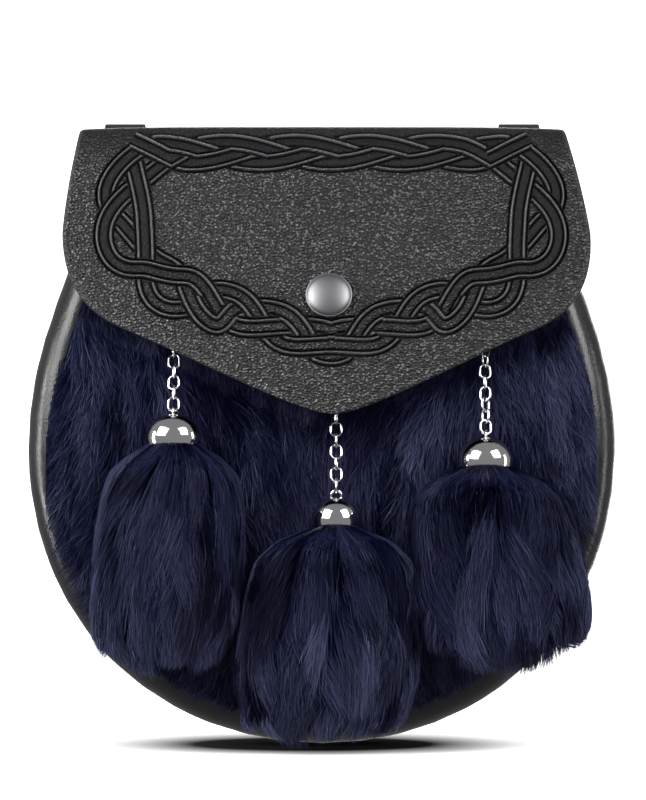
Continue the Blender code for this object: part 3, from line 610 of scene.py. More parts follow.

# %% [markdown]
# The flap's leather is embossed. The raised lines of the interlace are smooth and polished by wear, and their
# colour is painted paler, partly as wear and partly as a painted highlight on the crests. The grooves beside
# them are painted near black as painted shade, the ground between them keeps its pebbles, whose tops carry
# pale specks
# that are a painted highlight, and the cut edge is skived to a paler bevel. The mesh carries these as values:
# ridge, groove, ground and cut.

# %% Leather of the flap
def embossed_leather():
    made, nodes, shader, spot = finish("flap_leather_face")
    ridge, groove, ground, cut = (nodes.mark(name) for name in ("ridge", "groove", "ground", "cut"))
    grain = nodes.use("leather_grain", Vector=spot, Pebble_Size=0.00100, Pebble=ground)
    worn = nodes.use("wear", Vector=spot, Scale=45.0)
    smooth = nodes.math("SUBTRACT", 1.0, ground)
    base = nodes.mix(nodes.times(worn["Patches"], 0.3), *FLAP_FACE)
    # Painted light in the flap's colour: pale specks on the pebble tops are a painted highlight, the ridges
    # are painted paler, partly as wear and partly as a painted highlight, and the grooves are painted near
    # black as painted shade.
    for mask, share, tone in ((grain["Speck"], 0.7, SPECK_PAINTED_HIGHLIGHT_GREY), (smooth, 0.9, SMOOTH_BLACK),
                              (groove, 0.95, GROOVE_PAINTED_SHADE_BLACK), (ridge, 0.75, RIDGE_WEAR_AND_PAINTED_HIGHLIGHT_GREY)):
        base = nodes.mix(nodes.times(mask, share), base, tone)
    raw = nodes.mix(nodes.noise(spot, 1500.0), *FLAP_CUT)
    rough = nodes.math("SUBTRACT", 0.42, nodes.times(grain["Speck"], 0.10))
    rough = nodes.math("SUBTRACT", rough, nodes.times(ridge, 0.12))
    shine = nodes.plus(nodes.times(grain["Speck"], 2.40), 0.36)
    shine = nodes.times(shine, nodes.span(smooth, 0.0, 0.9, 1.0, 0.42))
    shine = nodes.times(shine, nodes.span(groove, 0.0, 0.8, 1.0, 0.05))
    nodes.feed(shader, Base_Color=nodes.mix(cut, base, raw),
               Roughness=nodes.plus(rough, nodes.times(cut, 0.25)),
               Specular_IOR_Level=nodes.plus(shine, nodes.times(ridge, 0.8)),
               Normal=nodes.bump(grain["Height"], 1.0, 0.00120))
    return made


flap_face = embossed_leather()
suede = body_leather("flap_suede", 0.0005, 0.8, SUEDE_GREY, 0.75)


# %% Fur
def fur_strands():
    made, nodes, shader, _ = finish("fur_hair")
    hair = nodes.use("fur_tint", Along=nodes.mark("along"), Tint=nodes.mark("tint"))
    nodes.feed(shader, Base_Color=hair["Color"], Roughness=hair["Roughness"],
               Specular_IOR_Level=0.20, Specular_Tint=FUR_SHEEN)
    return made


def fur_ground():
    """The dense underfur below the hairs: the darkest blue, broken by fine streaks."""
    made, nodes, shader, spot = finish("fur_underfur")
    streaks = nodes.noise(nodes.vector("MULTIPLY", spot, (1.0, 1.0, 0.12))[0], 1500.0, 4.0)
    hair = nodes.use("fur_tint", Along=nodes.span(streaks, 0.3, 0.8, 0.0, 0.35), Tint=streaks)
    nodes.feed(shader, Base_Color=hair["Color"], Roughness=0.8, Specular_IOR_Level=0.08,
               Normal=nodes.bump(streaks, 1.0, 0.0006))
    return made


fur_hair, underfur = fur_strands(), fur_ground()


# %% Metals
def metal(name, tone, roughness, brushed):
    made, nodes, shader, spot = finish(name)
    worn = nodes.use("wear", Vector=spot, Scale=160.0)
    colour = nodes.mix(nodes.times(worn["Patches"], 0.3), tone, tuple(0.82 * part for part in tone))
    rough = nodes.plus(nodes.times(worn["Patches"], 0.05), roughness)
    nodes.feed(shader, Base_Color=colour, Metallic=1.0,
               Roughness=nodes.plus(rough, nodes.times(worn["Scuffs"], brushed)),
               Normal=nodes.bump(worn["Scuffs"], 0.10, 0.00004))
    return made


polished = metal("polished_steel", STEEL, 0.07, 0.05)
satin = metal("satin_nickel", NICKEL, 0.42, 0.08)
gunmetal = metal("gunmetal_plate", GUNMETAL, 0.30, 0.12)
print("materials", len(bpy.data.materials))

# %% [markdown]
# The back panel is a flat piece of thick leather, cut round the outline. It stands a little past the rim,
# so its pale cut edge shows as a thin line along the bottom.

# %% Back panel
PANEL_STEPS, CORNER_DROP, CUT_BEVEL = 200, 0.006, 0.0005


def back_outline(inset):
    share = np.linspace(-1, 1, PANEL_STEPS + 1)[1:-1]
    edge = np.stack(outline_at(share, inset), axis=-1)
    top, half = POUCH_HEIGHT + BACK_RISE - inset, MOUTH_WIDTH / 2 - inset
    turns = np.linspace(0, math.pi / 2, 9)
    corner = np.stack([half - BACK_CORNER * (1 - np.cos(turns)),
                       top - (BACK_RISE + CORNER_DROP) * (1 - np.sin(turns))], axis=-1)
    left = corner[::-1] * (-1, 1)
    edge = edge[edge[:, 1] < corner[0, 1] - 0.0005]
    return np.concatenate([edge, corner, left])


def make_back_panel():
    ring = back_outline(0.0)
    form = bmesh.new()
    points = place(ring[:, 0], np.full(len(ring), BACK_LEATHER), ring[:, 1])
    face = form.faces.new([form.verts.new(point) for point in points])
    made = bmesh.ops.extrude_face_region(form, geom=[face])
    moved = [item for item in made["geom"] if isinstance(item, bmesh.types.BMVert)]
    bmesh.ops.translate(form, vec=(0, BACK_LEATHER, 0), verts=moved)
    rim = [edge for edge in form.edges if not edge.is_wire
           and len(edge.link_faces) == 2 and edge.calc_face_angle(0) > 1.0]
    bmesh.ops.bevel(form, geom=rim, offset=CUT_BEVEL, segments=2, profile=0.5, affect="EDGES", material=-1)
    bmesh.ops.triangulate(form, faces=[face for face in form.faces if len(face.verts) > 4])
    bmesh.ops.recalc_face_normals(form, faces=form.faces)
    depth = np.abs(coordinates(form)[:, 1] - BACK_Y + BACK_LEATHER / 2)
    return form, (depth < BACK_LEATHER / 2 - 0.00005).astype(float)


form, cut = make_back_panel()
piece("back_panel_leather", form, panel_leather, ["back_panel"], marks={"cut": cut})

# %% [markdown]
# The back is sewn to the gusset with a row of stitches along its edge, and the flap's root is sewn to the
# back with two rows between the belt loops. A stitch is a small rounded length of waxed thread, half sunk
# in the leather.

# %% Stitches on the back
STITCH_LENGTH, STITCH_PITCH, STITCH_INSET = 0.0030, 0.0040, 0.0048
THREAD_HALF, THREAD_OUT = 0.00034, 0.00024
ROOT_ROWS_UP, LOOP_SPACING, LOOP_CLEAR = (0.0035, 0.0075), 0.1300, 0.0095


def stitches(line, away):
    """Stitches at equal steps along a line (right, height) that lies at a y."""
    form = bmesh.new()
    reach = reach_along(line)
    size = Matrix.Diagonal((STITCH_LENGTH / 2, THREAD_OUT, THREAD_HALF, 1))
    for at in np.arange(STITCH_PITCH / 2, reach[-1], STITCH_PITCH):
        x, z = (np.interp(at, reach, values) for values in line.T)
        next_x, next_z = (np.interp(at + 0.0005, reach, values) for values in line.T)
        turn = Matrix.Rotation(-math.atan2(next_z - z, next_x - x), 4, "Y")
        bmesh.ops.create_uvsphere(form, u_segments=8, v_segments=6, radius=1,
                                  matrix=Matrix.Translation((x, away, z - HANG_HEIGHT)) @ turn @ size)
    return form


def back_stitches():
    steps = np.linspace(-1, 1, 1200)
    round_edge = np.stack(outline_at(steps, STITCH_INSET), axis=-1)
    root = CREST_HEIGHT - FLAP_ROOT
    rows = [stitches(round_edge[round_edge[:, 1] < root - 0.001], BACK_Y)]
    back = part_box("flap")[1].y
    end = LOOP_SPACING / 2 - LOOP_CLEAR
    for rise in ROOT_ROWS_UP:
        rows.append(stitches(np.array([(-end, root + rise), (end, root + rise)]), back))
    return gathered(rows)


thread = body_leather("waxed_thread", 0.0004, 0.5, THREAD_GREY, 0.45)
piece("back_stitches", back_stitches(), thread, (), sharp=180)

# %% [markdown]
# The gusset is one piece of leather that rolls round into the rim. Its section is carried round the
# outline: a straight side wall and then a quarter circle, which catches a long highlight.

# %% Gusset and rolled rim
def gusset_section(down, layer, depth):
    inner = GUSSET_LEATHER * (1 - layer)
    rear, shoulder = BACK_LEATHER + GAP, depth - RIM_DEPTH
    side = down < RIM_START
    share = np.where(side, down / RIM_START, 0)
    angle = np.where(side, 0, math.pi / 2 * (down - RIM_START) / (1 - RIM_START))
    inset = np.where(side, BACK_EDGE_INSET * (1 - share) ** 2 + inner,
                     RIM_WIDTH - (RIM_WIDTH - inner) * np.cos(angle))
    forward = np.where(side, rear + share * (shoulder - rear), shoulder + (RIM_DEPTH - inner) * np.sin(angle))
    return inset, forward


def gusset_shape(along, down, layer):
    height = outline_at(along, 0)[1]
    inset, forward = gusset_section(down, layer, pouch_depth(height))
    ripple = 0.00022 * layer * np.sin(61 * along) * np.sin(23 * along + 1) * ease(down / RIM_START)
    right, height = outline_at(along, inset + np.abs(ripple))
    return place(right, forward, height)


piece("gusset_rim", slab(220, 30, gusset_shape), rim_leather, ["gusset"], sharp=60)

# %% [markdown]
# The interlace on the flap is a traditional knot. It is drawn as the middle lines of its strands, and each
# strand knows where it passes over and where under. The top border and the slanting borders are plaits of
# three: three equal waves, each a third of a period behind the last. The corners are drawn as listed points.
# The left side is mirrored to the right, and the parts are joined into three long strands.
#
# The points are in steps of a third of a millimetre on the flap's face: x from the left, y down.

# %% The drawing's own grid
DRAWING_STEP = 0.0003253
DRAWING_MIDDLE, DRAWING_BOTTOM = 322.0, 742.0
MIRROR_LINE = 331.0
TOP_LINE, TOP_SWING, TOP_PERIOD, TOP_PEAK = 154.0, 11.0, 210.0, 156.0
LOW_START, LOW_SLOPE, LOW_SWING, LOW_PERIOD = (200.0, 297.0), 0.39, 15.0, 150.0
LOW_PEAK, LOW_STEP, LOW_SKEW = -16.5, 50.0, 0.3
JOIN_BLUR, STRETCH, OVERLAP, WAVE_STEP = 7, 60, 8, 4.0


def through(*points):
    """A smooth line through rows of points (x, y, level)."""
    points = np.concatenate(points)
    reach = reach_along(points[:, :2])
    fine = np.arange(0, reach[-1], 1.0)
    return np.stack([smooth_line(fine, reach, points[:, index]) for index in range(3)], axis=-1)


def top_wave(strand, first, last):
    x = np.arange(first, last, WAVE_STEP)
    turn = 2 * np.pi * (x - TOP_PEAK - strand * TOP_PERIOD / 3) / TOP_PERIOD
    return np.stack([x, TOP_LINE - TOP_SWING * np.cos(turn), np.sin(2 * turn)], axis=-1)


def low_wave(strand, first):
    """A strand of the slanting plait on the left, up to the mirror line."""
    along = np.array([1, LOW_SLOPE]) / math.hypot(1, LOW_SLOPE)
    end = (MIRROR_LINE - LOW_START[0]) / along[0]
    s = np.arange(first, end, WAVE_STEP)
    turn = 2 * np.pi * (s - LOW_PEAK - strand * LOW_STEP) / LOW_PERIOD
    turn = turn - LOW_SKEW * np.cos(turn) + LOW_SKEW
    swing = LOW_SWING * np.cos(turn)
    x = LOW_START[0] + s * along[0] + swing * along[1]
    y = LOW_START[1] + s * along[1] - swing * along[0]
    return np.stack([x, y, np.sin(2 * turn)], axis=-1)


def mirrored(points):
    return points[::-1] * (-1, 1, 1) + (2 * MIRROR_LINE, 0, 0)


def joined(*parts):
    """Stretches of a strand as one line, rounded where they meet."""
    whole = np.concatenate(parts)
    padded = np.pad(whole, ((JOIN_BLUR, JOIN_BLUR), (0, 0)), mode="edge")
    evenly = np.ones(2 * JOIN_BLUR + 1) / (2 * JOIN_BLUR + 1)
    return np.stack([np.convolve(column, evenly, "valid") for column in padded.T], axis=-1)


def stretches(line):
    """Short stretches that overlap a little, so that a long strand can pass over itself."""
    return [line[max(start - OVERLAP, 0):start + STRETCH + OVERLAP] for start in range(0, len(line), STRETCH)]


# %% The strands of the left side
CORNER = [(174, 145, 0.2), (156, 144, -0.3), (143, 149, -0.6), (127, 161, 0.9), (115, 175, 0.4),
          (108, 190, 0.1), (108, 203, -0.6), (113, 214, -1.0), (124, 225, -0.3), (136, 239, -0.9),
          (147, 251, -1.0), (160, 262, -0.3), (175, 270, -0.5), (185, 280, -1.0), (190, 292, 0.1),
          (196, 306, 1.0), (206, 320, 0.3), (219, 328, -0.1)]
LOOP = [(188, 151, 0.2), (165, 165, -0.1), (147, 180, -0.9), (131, 193, -0.4), (118, 206, 0.8),
        (109, 221, 0.4), (106, 237, 0.1), (109, 252, 0.1), (117, 264, 0.2), (131, 271, 0.6),
        (147, 271, 1.0), (162, 275, 0.6), (178, 278, 0.8)]
STEM = [(133, 156, -1.0), (135, 166, -0.6), (138, 178, 0.6), (141, 190, 1.0), (145, 210, 0.5),
        (147, 235, 0.8), (148, 250, 0.9), (148, 270, -1.0), (149, 287, -0.2), (155, 301, 0.0),
        (168, 310, 0.1), (184, 311, -0.6), (196, 308, -1.0)]
CORNER_END = [(183, 165, -0.3), (170, 159, 0.2), (157, 152, 0.9), (143, 145, 0.9), (131, 139, -0.3)]


def strands():
    """The interlace's three strands, cut into stretches of points (x, y, level)."""
    corner = through(CORNER, low_wave(-1, 42.0))
    loop = through(LOOP, low_wave(0, -10.0))
    stem = through(STEM, low_wave(1, 16.0))
    top = [through(top_wave(*span)) for span in ((0, 177.0, 476.0), (1, 190.0, 472.0), (2, 188.0, 485.0))]
    end = through(CORNER_END)
    endless = joined(loop, mirrored(loop), top[1][::-1])
    lines = [joined(end[::-1], top[2], mirrored(corner)[::-1], corner[::-1], top[0], mirrored(end)[::-1]),
             np.concatenate([endless, endless[:2 * OVERLAP]]), joined(stem, mirrored(stem))]
    return [part for line in lines for part in stretches(line)]


STRETCHES = strands()
print(len(STRETCHES), "stretches,", sum(map(len, STRETCHES)), "points")

# %% [markdown]
# A strand is carved with two thin raised lines. Between them the leather slopes down smoothly to a strip
# that keeps its pebbles, and outside each line runs a pressed groove. The height at a point is the one of
# the topmost strand that passes there, so a strand that goes under another is cut off by the other's groove.

# %% Relief of the interlace
CREST_OUT, CREST_WIDTH, CREST_RISE = 0.00225, 0.00024, 0.00050
BEVEL_OUT, BEVEL_SPAN, BEVEL_SINK = 0.00155, 0.00042, 0.00048
GROOVE_OUT, GROOVE_WIDTH, GROOVE_DEPTH = 0.00295, 0.00038, 0.00060
STRAND_HALF, STRIP_HALF, SOFT_EDGE = 0.00360, 0.0009, 0.0004
PLAIT_TOP, PLAIT_FADE, STRIP_SHARE = 0.160, 0.02, 0.80


def relief(right, height):
    """Height of the emboss, and how much is ridge, groove and smooth, at points of the flap's face."""
    spots = np.stack([right, height], axis=-1)
    best = np.full(len(spots), -9.0)
    away = np.full(len(spots), 1.0)
    for line in STRETCHES:
        x = (line[:, 0] - DRAWING_MIDDLE) * DRAWING_STEP
        z = (DRAWING_BOTTOM - line[:, 1]) * DRAWING_STEP
        near = np.flatnonzero((right > x.min() - STRAND_HALF) & (right < x.max() + STRAND_HALF)
                              & (height > z.min() - STRAND_HALF) & (height < z.max() + STRAND_HALF))
        for part in np.array_split(near, max(1, len(near) // 4000)):
            gap = (spots[part, None, 0] - x) ** 2 + (spots[part, None, 1] - z) ** 2
            nearest = gap.argmin(axis=1)
            distance = np.sqrt(gap[np.arange(len(part)), nearest])
            inside = (nearest > 0) & (nearest < len(x) - 1) & (distance < STRAND_HALF)
            level = line[nearest, 2]
            higher = inside & (level > best[part])
            best[part[higher]] = level[higher]
            away[part[higher]] = distance[higher]
    crest, bevel, groove = (
        np.exp(-(((away - out) / width) ** 2))
        for out, width in ((CREST_OUT, CREST_WIDTH), (BEVEL_OUT, BEVEL_SPAN), (GROOVE_OUT, GROOVE_WIDTH))
    )
    raised = CREST_RISE * crest - BEVEL_SINK * bevel - GROOVE_DEPTH * groove
    strip = 1 - ease((away - STRIP_HALF) / SOFT_EDGE)
    pebbled = STRIP_SHARE * strip * ease((PLAIT_TOP - height) / PLAIT_FADE)
    smooth = ease((STRAND_HALF - away) / SOFT_EDGE) * (1 - pebbled)
    return raised, crest, np.maximum(bevel, groove), smooth


# %% [markdown]
# The flap's front is a grid laid on the folded path. Only where the interlace and the bevelled edge run is
# the grid divided again, so the fine relief costs no faces on the plain ground.

# %% Flap front
FACE_COLUMNS, FACE_ROWS, FINE_CUTS = 150, 96, 2
BEVEL_WIDTH, BEVEL_DEPTH = 0.0016, 0.0011
FACE_BEHIND, FACE_CROWDING, FINE_EDGE = 0.004, 0.94, 0.0026
CALM_INSET, CALM_SPAN, CALM_CREST, BEND_INSET, BEND_SPAN = 0.0022, 0.002, 0.003, 0.006, 0.014


def flap_reach(across, down):
    """Length along the path for a share of the way from just behind the crest to the lower edge."""
    start = FLAP_REACH[CREST_ROW] - FACE_BEHIND
    end = flap_reach_at(flap_floor(across * FLAP_WIDTH / 2))
    return start + down * (end - start)


def edge_distance(spots):
    """How far points (right share, reach) are from the flap's cut edge, measured flat."""
    share, reach = spots
    height = np.interp(reach, FLAP_REACH, FLAP_PATH[:, 1])
    half = flap_half_width(height, True)
    right = share * half
    upper = np.linspace(FLAP_LOWER[-1, 1], CREST_HEIGHT, 40)
    line = np.concatenate([FLAP_LOWER, np.stack([flap_half_width(upper, True), upper], axis=-1)[1:]])
    fine = np.linspace(0, reach_along(line)[-1], 700)
    edge = np.stack([np.interp(fine, reach_along(line), values) for values in line.T], axis=-1)
    near = [np.sqrt(((np.abs(right[part, None]) - edge[:, 0]) ** 2
                     + (height[part, None] - edge[:, 1]) ** 2).min(axis=1))
            for part in np.array_split(np.arange(len(right)), max(1, len(right) // 4000))]
    return np.concatenate(near)


def make_flap_face():
    form = bmesh.new()
    bmesh.ops.create_grid(form, x_segments=FACE_COLUMNS, y_segments=FACE_ROWS, size=1)

    def spots():
        across, down, _ = coordinates(form).T
        across = np.sin(np.pi / 2 * FACE_CROWDING * across) / math.sin(np.pi / 2 * FACE_CROWDING)
        return across, flap_reach(across, (1 - down) / 2)

    across, reach = spots()
    flat = flap_surface(across, reach, FLAP_LEATHER)
    _, _, groove, smooth = relief(flat[:, 0], flat[:, 2] + HANG_HEIGHT)
    wanted = (smooth + groove > 0.02) | (edge_distance((across, reach)) < FINE_EDGE)
    chosen = {edge for edge in form.edges if any(wanted[point.index] for point in edge.verts)}
    bmesh.ops.subdivide_edges(form, edges=list(chosen), cuts=FINE_CUTS, use_grid_fill=True)
    form.verts.index_update()
    across, reach = spots()
    flat = flap_surface(across, reach, FLAP_LEATHER)
    raised, ridge, groove, smooth = relief(flat[:, 0], flat[:, 2] + HANG_HEIGHT)
    away = edge_distance((across, reach))
    past = reach - FLAP_REACH[CREST_ROW]
    calm = ease((away - CALM_INSET) / CALM_SPAN) * ease((past - CALM_CREST) / CALM_CREST)
    bevel = BEVEL_DEPTH * (1 - np.sqrt(1 - np.clip(1 - away / BEVEL_WIDTH, 0, 1) ** 2))
    # Near the fold the pebbles fade, so the top band is smoother, with fewer pale specks and less shine, and
    # so darker: partly smoother grain over the fold and partly painted shade on the top band.
    bend = 1 - ease((past - BEND_INSET) / BEND_SPAN)
    lay(form, flap_surface(across, reach, FLAP_LEATHER + raised * calm - bevel))
    marks = {"ridge": ridge * calm, "groove": groove * calm,
             "ground": (1 - 0.85 * smooth * calm) * (1 - 0.6 * bend),
             "cut": ease((BEVEL_WIDTH - away) / (0.5 * BEVEL_WIDTH))}
    bmesh.ops.recalc_face_normals(form, faces=form.faces)
    if sum(face.normal.y * face.calc_area() for face in form.faces) > 0:
        bmesh.ops.reverse_faces(form, faces=form.faces)
    return form, marks


form, marks = make_flap_face()
piece("flap_embossed_face", form, flap_face, ["flap"], marks, sharp=180)


# %% [markdown]
# Behind the embossed face the leather has its cut edge, its rough flesh side and the root that is sewn to
# the back. They are one plain shell: the flap's own form without relief, a hair smaller than the face.

# %% Flap body
BODY_SHARE, BODY_INSET, BODY_BEHIND = 0.9995, 0.0002, 0.003
ROOT_END, FOLD_END, FOLD_PAST = 0.10, 0.45, 0.02


def flap_body(across, down, layer):
    across = np.sin(np.pi / 2 * across) * BODY_SHARE
    crest = FLAP_REACH[CREST_ROW]
    turn = POUCH_HEIGHT + BACK_RISE - (CREST_HEIGHT - FLAP_ROOT)
    fold = crest + FOLD_PAST
    end = flap_reach_at(flap_floor(across * FLAP_WIDTH / 2)) - BODY_INSET
    over = turn + (down - ROOT_END) / (FOLD_END - ROOT_END) * (fold - turn)
    front = fold + (down - FOLD_END) / (1 - FOLD_END) * (end - fold)
    reach = np.where(down < ROOT_END, down / ROOT_END * turn, np.where(down < FOLD_END, over, front))
    behind = reach < crest - BODY_BEHIND
    full = np.where(behind, FLAP_LEATHER, FLAP_LEATHER - BEVEL_DEPTH)
    return flap_surface(across, reach, layer * full)


piece("flap_flesh_side", slab(72, 96, flap_body), suede, ["flap"], sharp=50)

# %% Front of the fur: the hide and underfur
BED_SHARE = 0.45


def bed_point(across, down):
    across = np.sin(np.pi / 2 * across)
    floor = panel_floor(across * PANEL_HALF)
    height = PANEL_TOP + down * (floor - PANEL_TOP)
    return across * panel_half_width(height), height, (1 - np.abs(across)) * PANEL_HALF, height - floor


def fur_thickness(right, height):
    return FUR_PRESSED + (FUR_LOFT - FUR_PRESSED) * ease((flap_floor(right) - height) / FUR_RELEASE)


def bed_shape(across, down, layer):
    right, height, from_side, from_floor = bed_point(across, down)
    inside = ease(np.minimum(from_side, from_floor) / FUR_EDGE_FADE)
    loft = BED_SHARE * fur_thickness(right, height)
    out = FUR_EDGE * 0.6 + (loft - FUR_EDGE * 0.6) * inside
    return place(right, hide_face(right, height) + np.where(layer > 0, out, -HIDE_THICKNESS), height)


piece("fur_front_hide", slab(60, 48, bed_shape), underfur, ["fur_front"], sharp=50)

# %% [markdown]
# Fur is thousands of fine hairs, more than a mesh can hold. What the eye sees is small bunches of hair, so
# each bunch is one narrow ribbon that ends in a point. One ribbon is made and repeated by an Array
# modifier, and then each copy is laid on the fur with its own root, length and lean. Its normals are turned
# outward at both sides, so a flat ribbon shades like a round bunch.

# %% Ribbons of hair
HAIR_TAPER, HAIR_ROUNDING = 0.55, 0.40


def ribbon_block(count, segments):
    """One mesh of many equal ribbons, and the (side, along) of each point of a ribbon."""
    form = bmesh.new()
    bmesh.ops.create_grid(form, x_segments=1, y_segments=segments, size=1)
    tip = [point for point in form.verts if point.co.y > 0.999]
    bmesh.ops.pointmerge(form, verts=tip, merge_co=(0, 1, 0))
    unit = coordinates(form)
    one = bpy.data.objects.new("ribbon", mesh_of(form, "ribbon"))
    SCENE.collection.objects.link(one)
    array = one.modifiers.new("Repeat", "ARRAY")
    array.count = count
    array.use_relative_offset = False
    array.use_constant_offset = True
    array.constant_offset_displace = (3, 0, 0)
    bpy.context.view_layer.update()
    many = bpy.data.meshes.new_from_object(one.evaluated_get(bpy.context.evaluated_depsgraph_get()))
    bpy.data.objects.remove(one)
    return many, unit[:, 0], (unit[:, 1] + 1) / 2


def hair_piece(name, middle, outward, width, tint, node, segments):
    """Lays ribbons along middle lines. middle and outward are (hair, step, 3), width and tint per hair."""
    count = len(middle)
    many, side, along = ribbon_block(count, segments)
    step = along * segments
    low = np.minimum(step.astype(int), segments - 1)
    share = (step - low)[None, :, None]
    at = middle[:, low] * (1 - share) + middle[:, low + 1] * share
    out = outward[:, low] * (1 - share) + outward[:, low + 1] * share
    run = middle[:, low + 1] - middle[:, low]
    beside = np.cross(run, out)
    beside /= np.linalg.norm(beside, axis=2, keepdims=True) + 1e-12
    full = np.sin(np.pi * np.clip(along, 0, 1) ** HAIR_TAPER) ** 0.6 * 0.65 + 0.35 * (1 - along)
    points = at + beside * (side * full)[None, :, None] * width[:, None, None] / 2
    many.vertices.foreach_set("co", points.reshape(-1))
    normals = out + HAIR_ROUNDING * beside * side[None, :, None]
    normals /= np.linalg.norm(normals, axis=2, keepdims=True)
    many.shade_smooth()
    many.update()
    many.normals_split_custom_set_from_vertices(normals.reshape(-1, 3))
    for mark, values in (("along", np.broadcast_to(along, (count, len(along)))),
                         ("tint", np.broadcast_to(tint[:, None], (count, len(along))))):
        many.attributes.new(mark, "FLOAT", "POINT").data.foreach_set("value", values.reshape(-1))
    many.materials.append(fur_hair)
    many.name = name
    made = bpy.data.objects.new(name, many)
    SCENE.collection.objects.link(made)
    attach(made, "root")
    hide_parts(node)
    print(name, sum(len(face.vertices) - 2 for face in many.polygons), "triangles")


# %% [markdown]
# On the front the fur is combed down. It lies in soft staggered locks: hairs of one lock lean towards its
# middle, and their tips lie over the roots of the lock below.

# %% Hairs of the front
FRONT_SEGMENTS, FRONT_HAIRS, FRONT_LOCKS = 3, 26000, 420
FRONT_LENGTH, FRONT_WIDTH, FRONT_LOCK_REACH = (0.008, 0.016), (0.00016, 0.00044), 0.006
FRONT_LOCK_SHAPE, FRONT_PALE_SHARE, FRONT_OVERHANG = np.array([1.0, 0.22]), 0.06, 0.0022
LOCK_LEAN, LOCK_WAVE, LOCK_SPREAD, HAIR_SPREAD = 3.0, 0.30, 0.16, 0.20
FRONT_TINT, TINT_SPREAD, PAINTED_SIDE_LIGHT, PALE_TINT = 0.24, 0.14, 0.15, 0.5
OUTWARD_LOCK, OUTWARD_HAIR, RIM_FALL = 0.30, 0.22, 60


def front_point(right, height, lift):
    """The fur panel's face at a lift over the hide. Past the panel's edge it lies on the rim."""
    limit = panel_half_width(height)
    inner = np.clip(right, -limit, limit)
    face = hide_face(inner, np.maximum(height, panel_floor(inner)))
    beyond = np.hypot(np.abs(right) - np.abs(inner), np.maximum(panel_floor(inner) - height, 0))
    return place(right, face + lift - RIM_FALL * np.minimum(beyond, 0.004) ** 2, height)


def nearest_lock(spots, locks, weight):
    """For each spot, the lock whose middle is nearest, where the second direction counts less."""
    return np.array([(((locks - spot) ** 2) @ weight).argmin() for spot in spots])


def front_hairs(name, count, left, right):
    """Hairs whose roots lie between two distances from the middle."""
    x = random.uniform(left, right, 6 * count)
    z = random.uniform(PANEL_LOWER[0, 1], FLAP_SHOULDER, 6 * count)
    keep = (np.abs(x) < panel_half_width(z) - 0.0005) & (z > panel_floor(x) + 0.0008)
    keep &= z < flap_floor(x - 0.002) + 0.012
    x, z = x[keep][:count], z[keep][:count]
    count = len(x)
    locks = np.stack([random.uniform(-0.1, 0.1, FRONT_LOCKS), random.uniform(0, 0.17, FRONT_LOCKS)], axis=-1)
    owner = nearest_lock(np.stack([x, z], axis=-1), locks, FRONT_LOCK_SHAPE)
    wave = LOCK_WAVE * np.sin(locks[:, 0] * 47 + locks[:, 1] * 30)
    lean = wave + LOCK_LEAN * locks[:, 0] + random.normal(0, LOCK_SPREAD, FRONT_LOCKS)
    turn = lean[owner] + random.normal(0, HAIR_SPREAD, count)
    room = z - panel_floor(x) + random.uniform(0.0005, 0.0030, count)
    length = np.minimum(random.uniform(*FRONT_LENGTH, count), room)
    loose = ease((flap_floor(x) + 0.002 - z) / FUR_RELEASE)
    step = np.linspace(0, 1, FRONT_SEGMENTS + 1)[None, :]
    aside = np.clip(locks[owner, 0] - x, -FRONT_LOCK_REACH, FRONT_LOCK_REACH)
    across = x[:, None] + (turn * length)[:, None] * step + (0.55 * aside)[:, None] * step**1.4
    limit = panel_half_width(z)[:, None] + FRONT_OVERHANG
    across = np.clip(across, -limit, limit)
    down = z[:, None] - length[:, None] * step * np.cos(turn)[:, None]
    domed = 1 - np.minimum(1, (aside / FRONT_LOCK_REACH) ** 2)
    full = FUR_PRESSED * 0.7 + (FUR_LOFT + 0.0002 - FUR_PRESSED * 0.7) * loose
    full = full * (0.70 + 0.45 * domed * random.uniform(0.4, 1.0, FRONT_LOCKS)[owner])
    full = full * random.uniform(0.75, 1.12, count)
    lift = full[:, None] * (0.25 + 0.95 * np.sin(np.pi * (0.12 + 0.62 * step)) ** 1.2)
    middle = front_point(across, down, lift)
    outward = np.stack([0.7 * aside / -FRONT_LOCK_REACH, np.full(count, -1.0), np.full(count, 0.05)], axis=-1)
    outward = outward[:, None]
    tilt = random.normal(0, OUTWARD_LOCK, (FRONT_LOCKS, 1, 3))[owner]
    tilt = tilt + random.normal(0, OUTWARD_HAIR, (count, 1, 3))
    outward = np.broadcast_to(outward, middle.shape) + tilt
    width = random.uniform(*FRONT_WIDTH, count)
    tint = random.normal(FRONT_TINT, TINT_SPREAD, count) + random.normal(0, TINT_SPREAD, FRONT_LOCKS)[owner]
    # Painted light: the fur is painted paler towards the right side and darker towards the left.
    tint = tint + PAINTED_SIDE_LIGHT * x / PANEL_HALF + PALE_TINT * (random.uniform(0, 1, count) < FRONT_PALE_SHARE)
    tint = np.clip(tint, 0, 1)
    hair_piece(name, middle, outward, width, tint, "fur_front", FRONT_SEGMENTS)


front_hairs("fur_front_hairs_left", FRONT_HAIRS, -PANEL_HALF, 0.0)
front_hairs("fur_front_hairs_right", FRONT_HAIRS, 0.0, PANEL_HALF)

# %% [markdown]
# The caps are polished domes, spun from a profile. The rim curls in a little and is rounded, because a cut
# sheet edge is never sharp. A soldered eye of wire on top takes the chain.

# %% Caps
CAP_WALL, CAP_HEIGHT, CAP_WIDEST, CAP_CURL = 0.0008, 0.0102, 0.26, math.radians(20)
EYE_WIRE, EYE_WIDTH, EYE_RISE = 0.0008, 0.0041, 0.0024
SIDES = ("left", "centre", "right")
EYE_TURN = {"left": 90, "centre": 0, "right": 90}
CAP_STEPS = 56


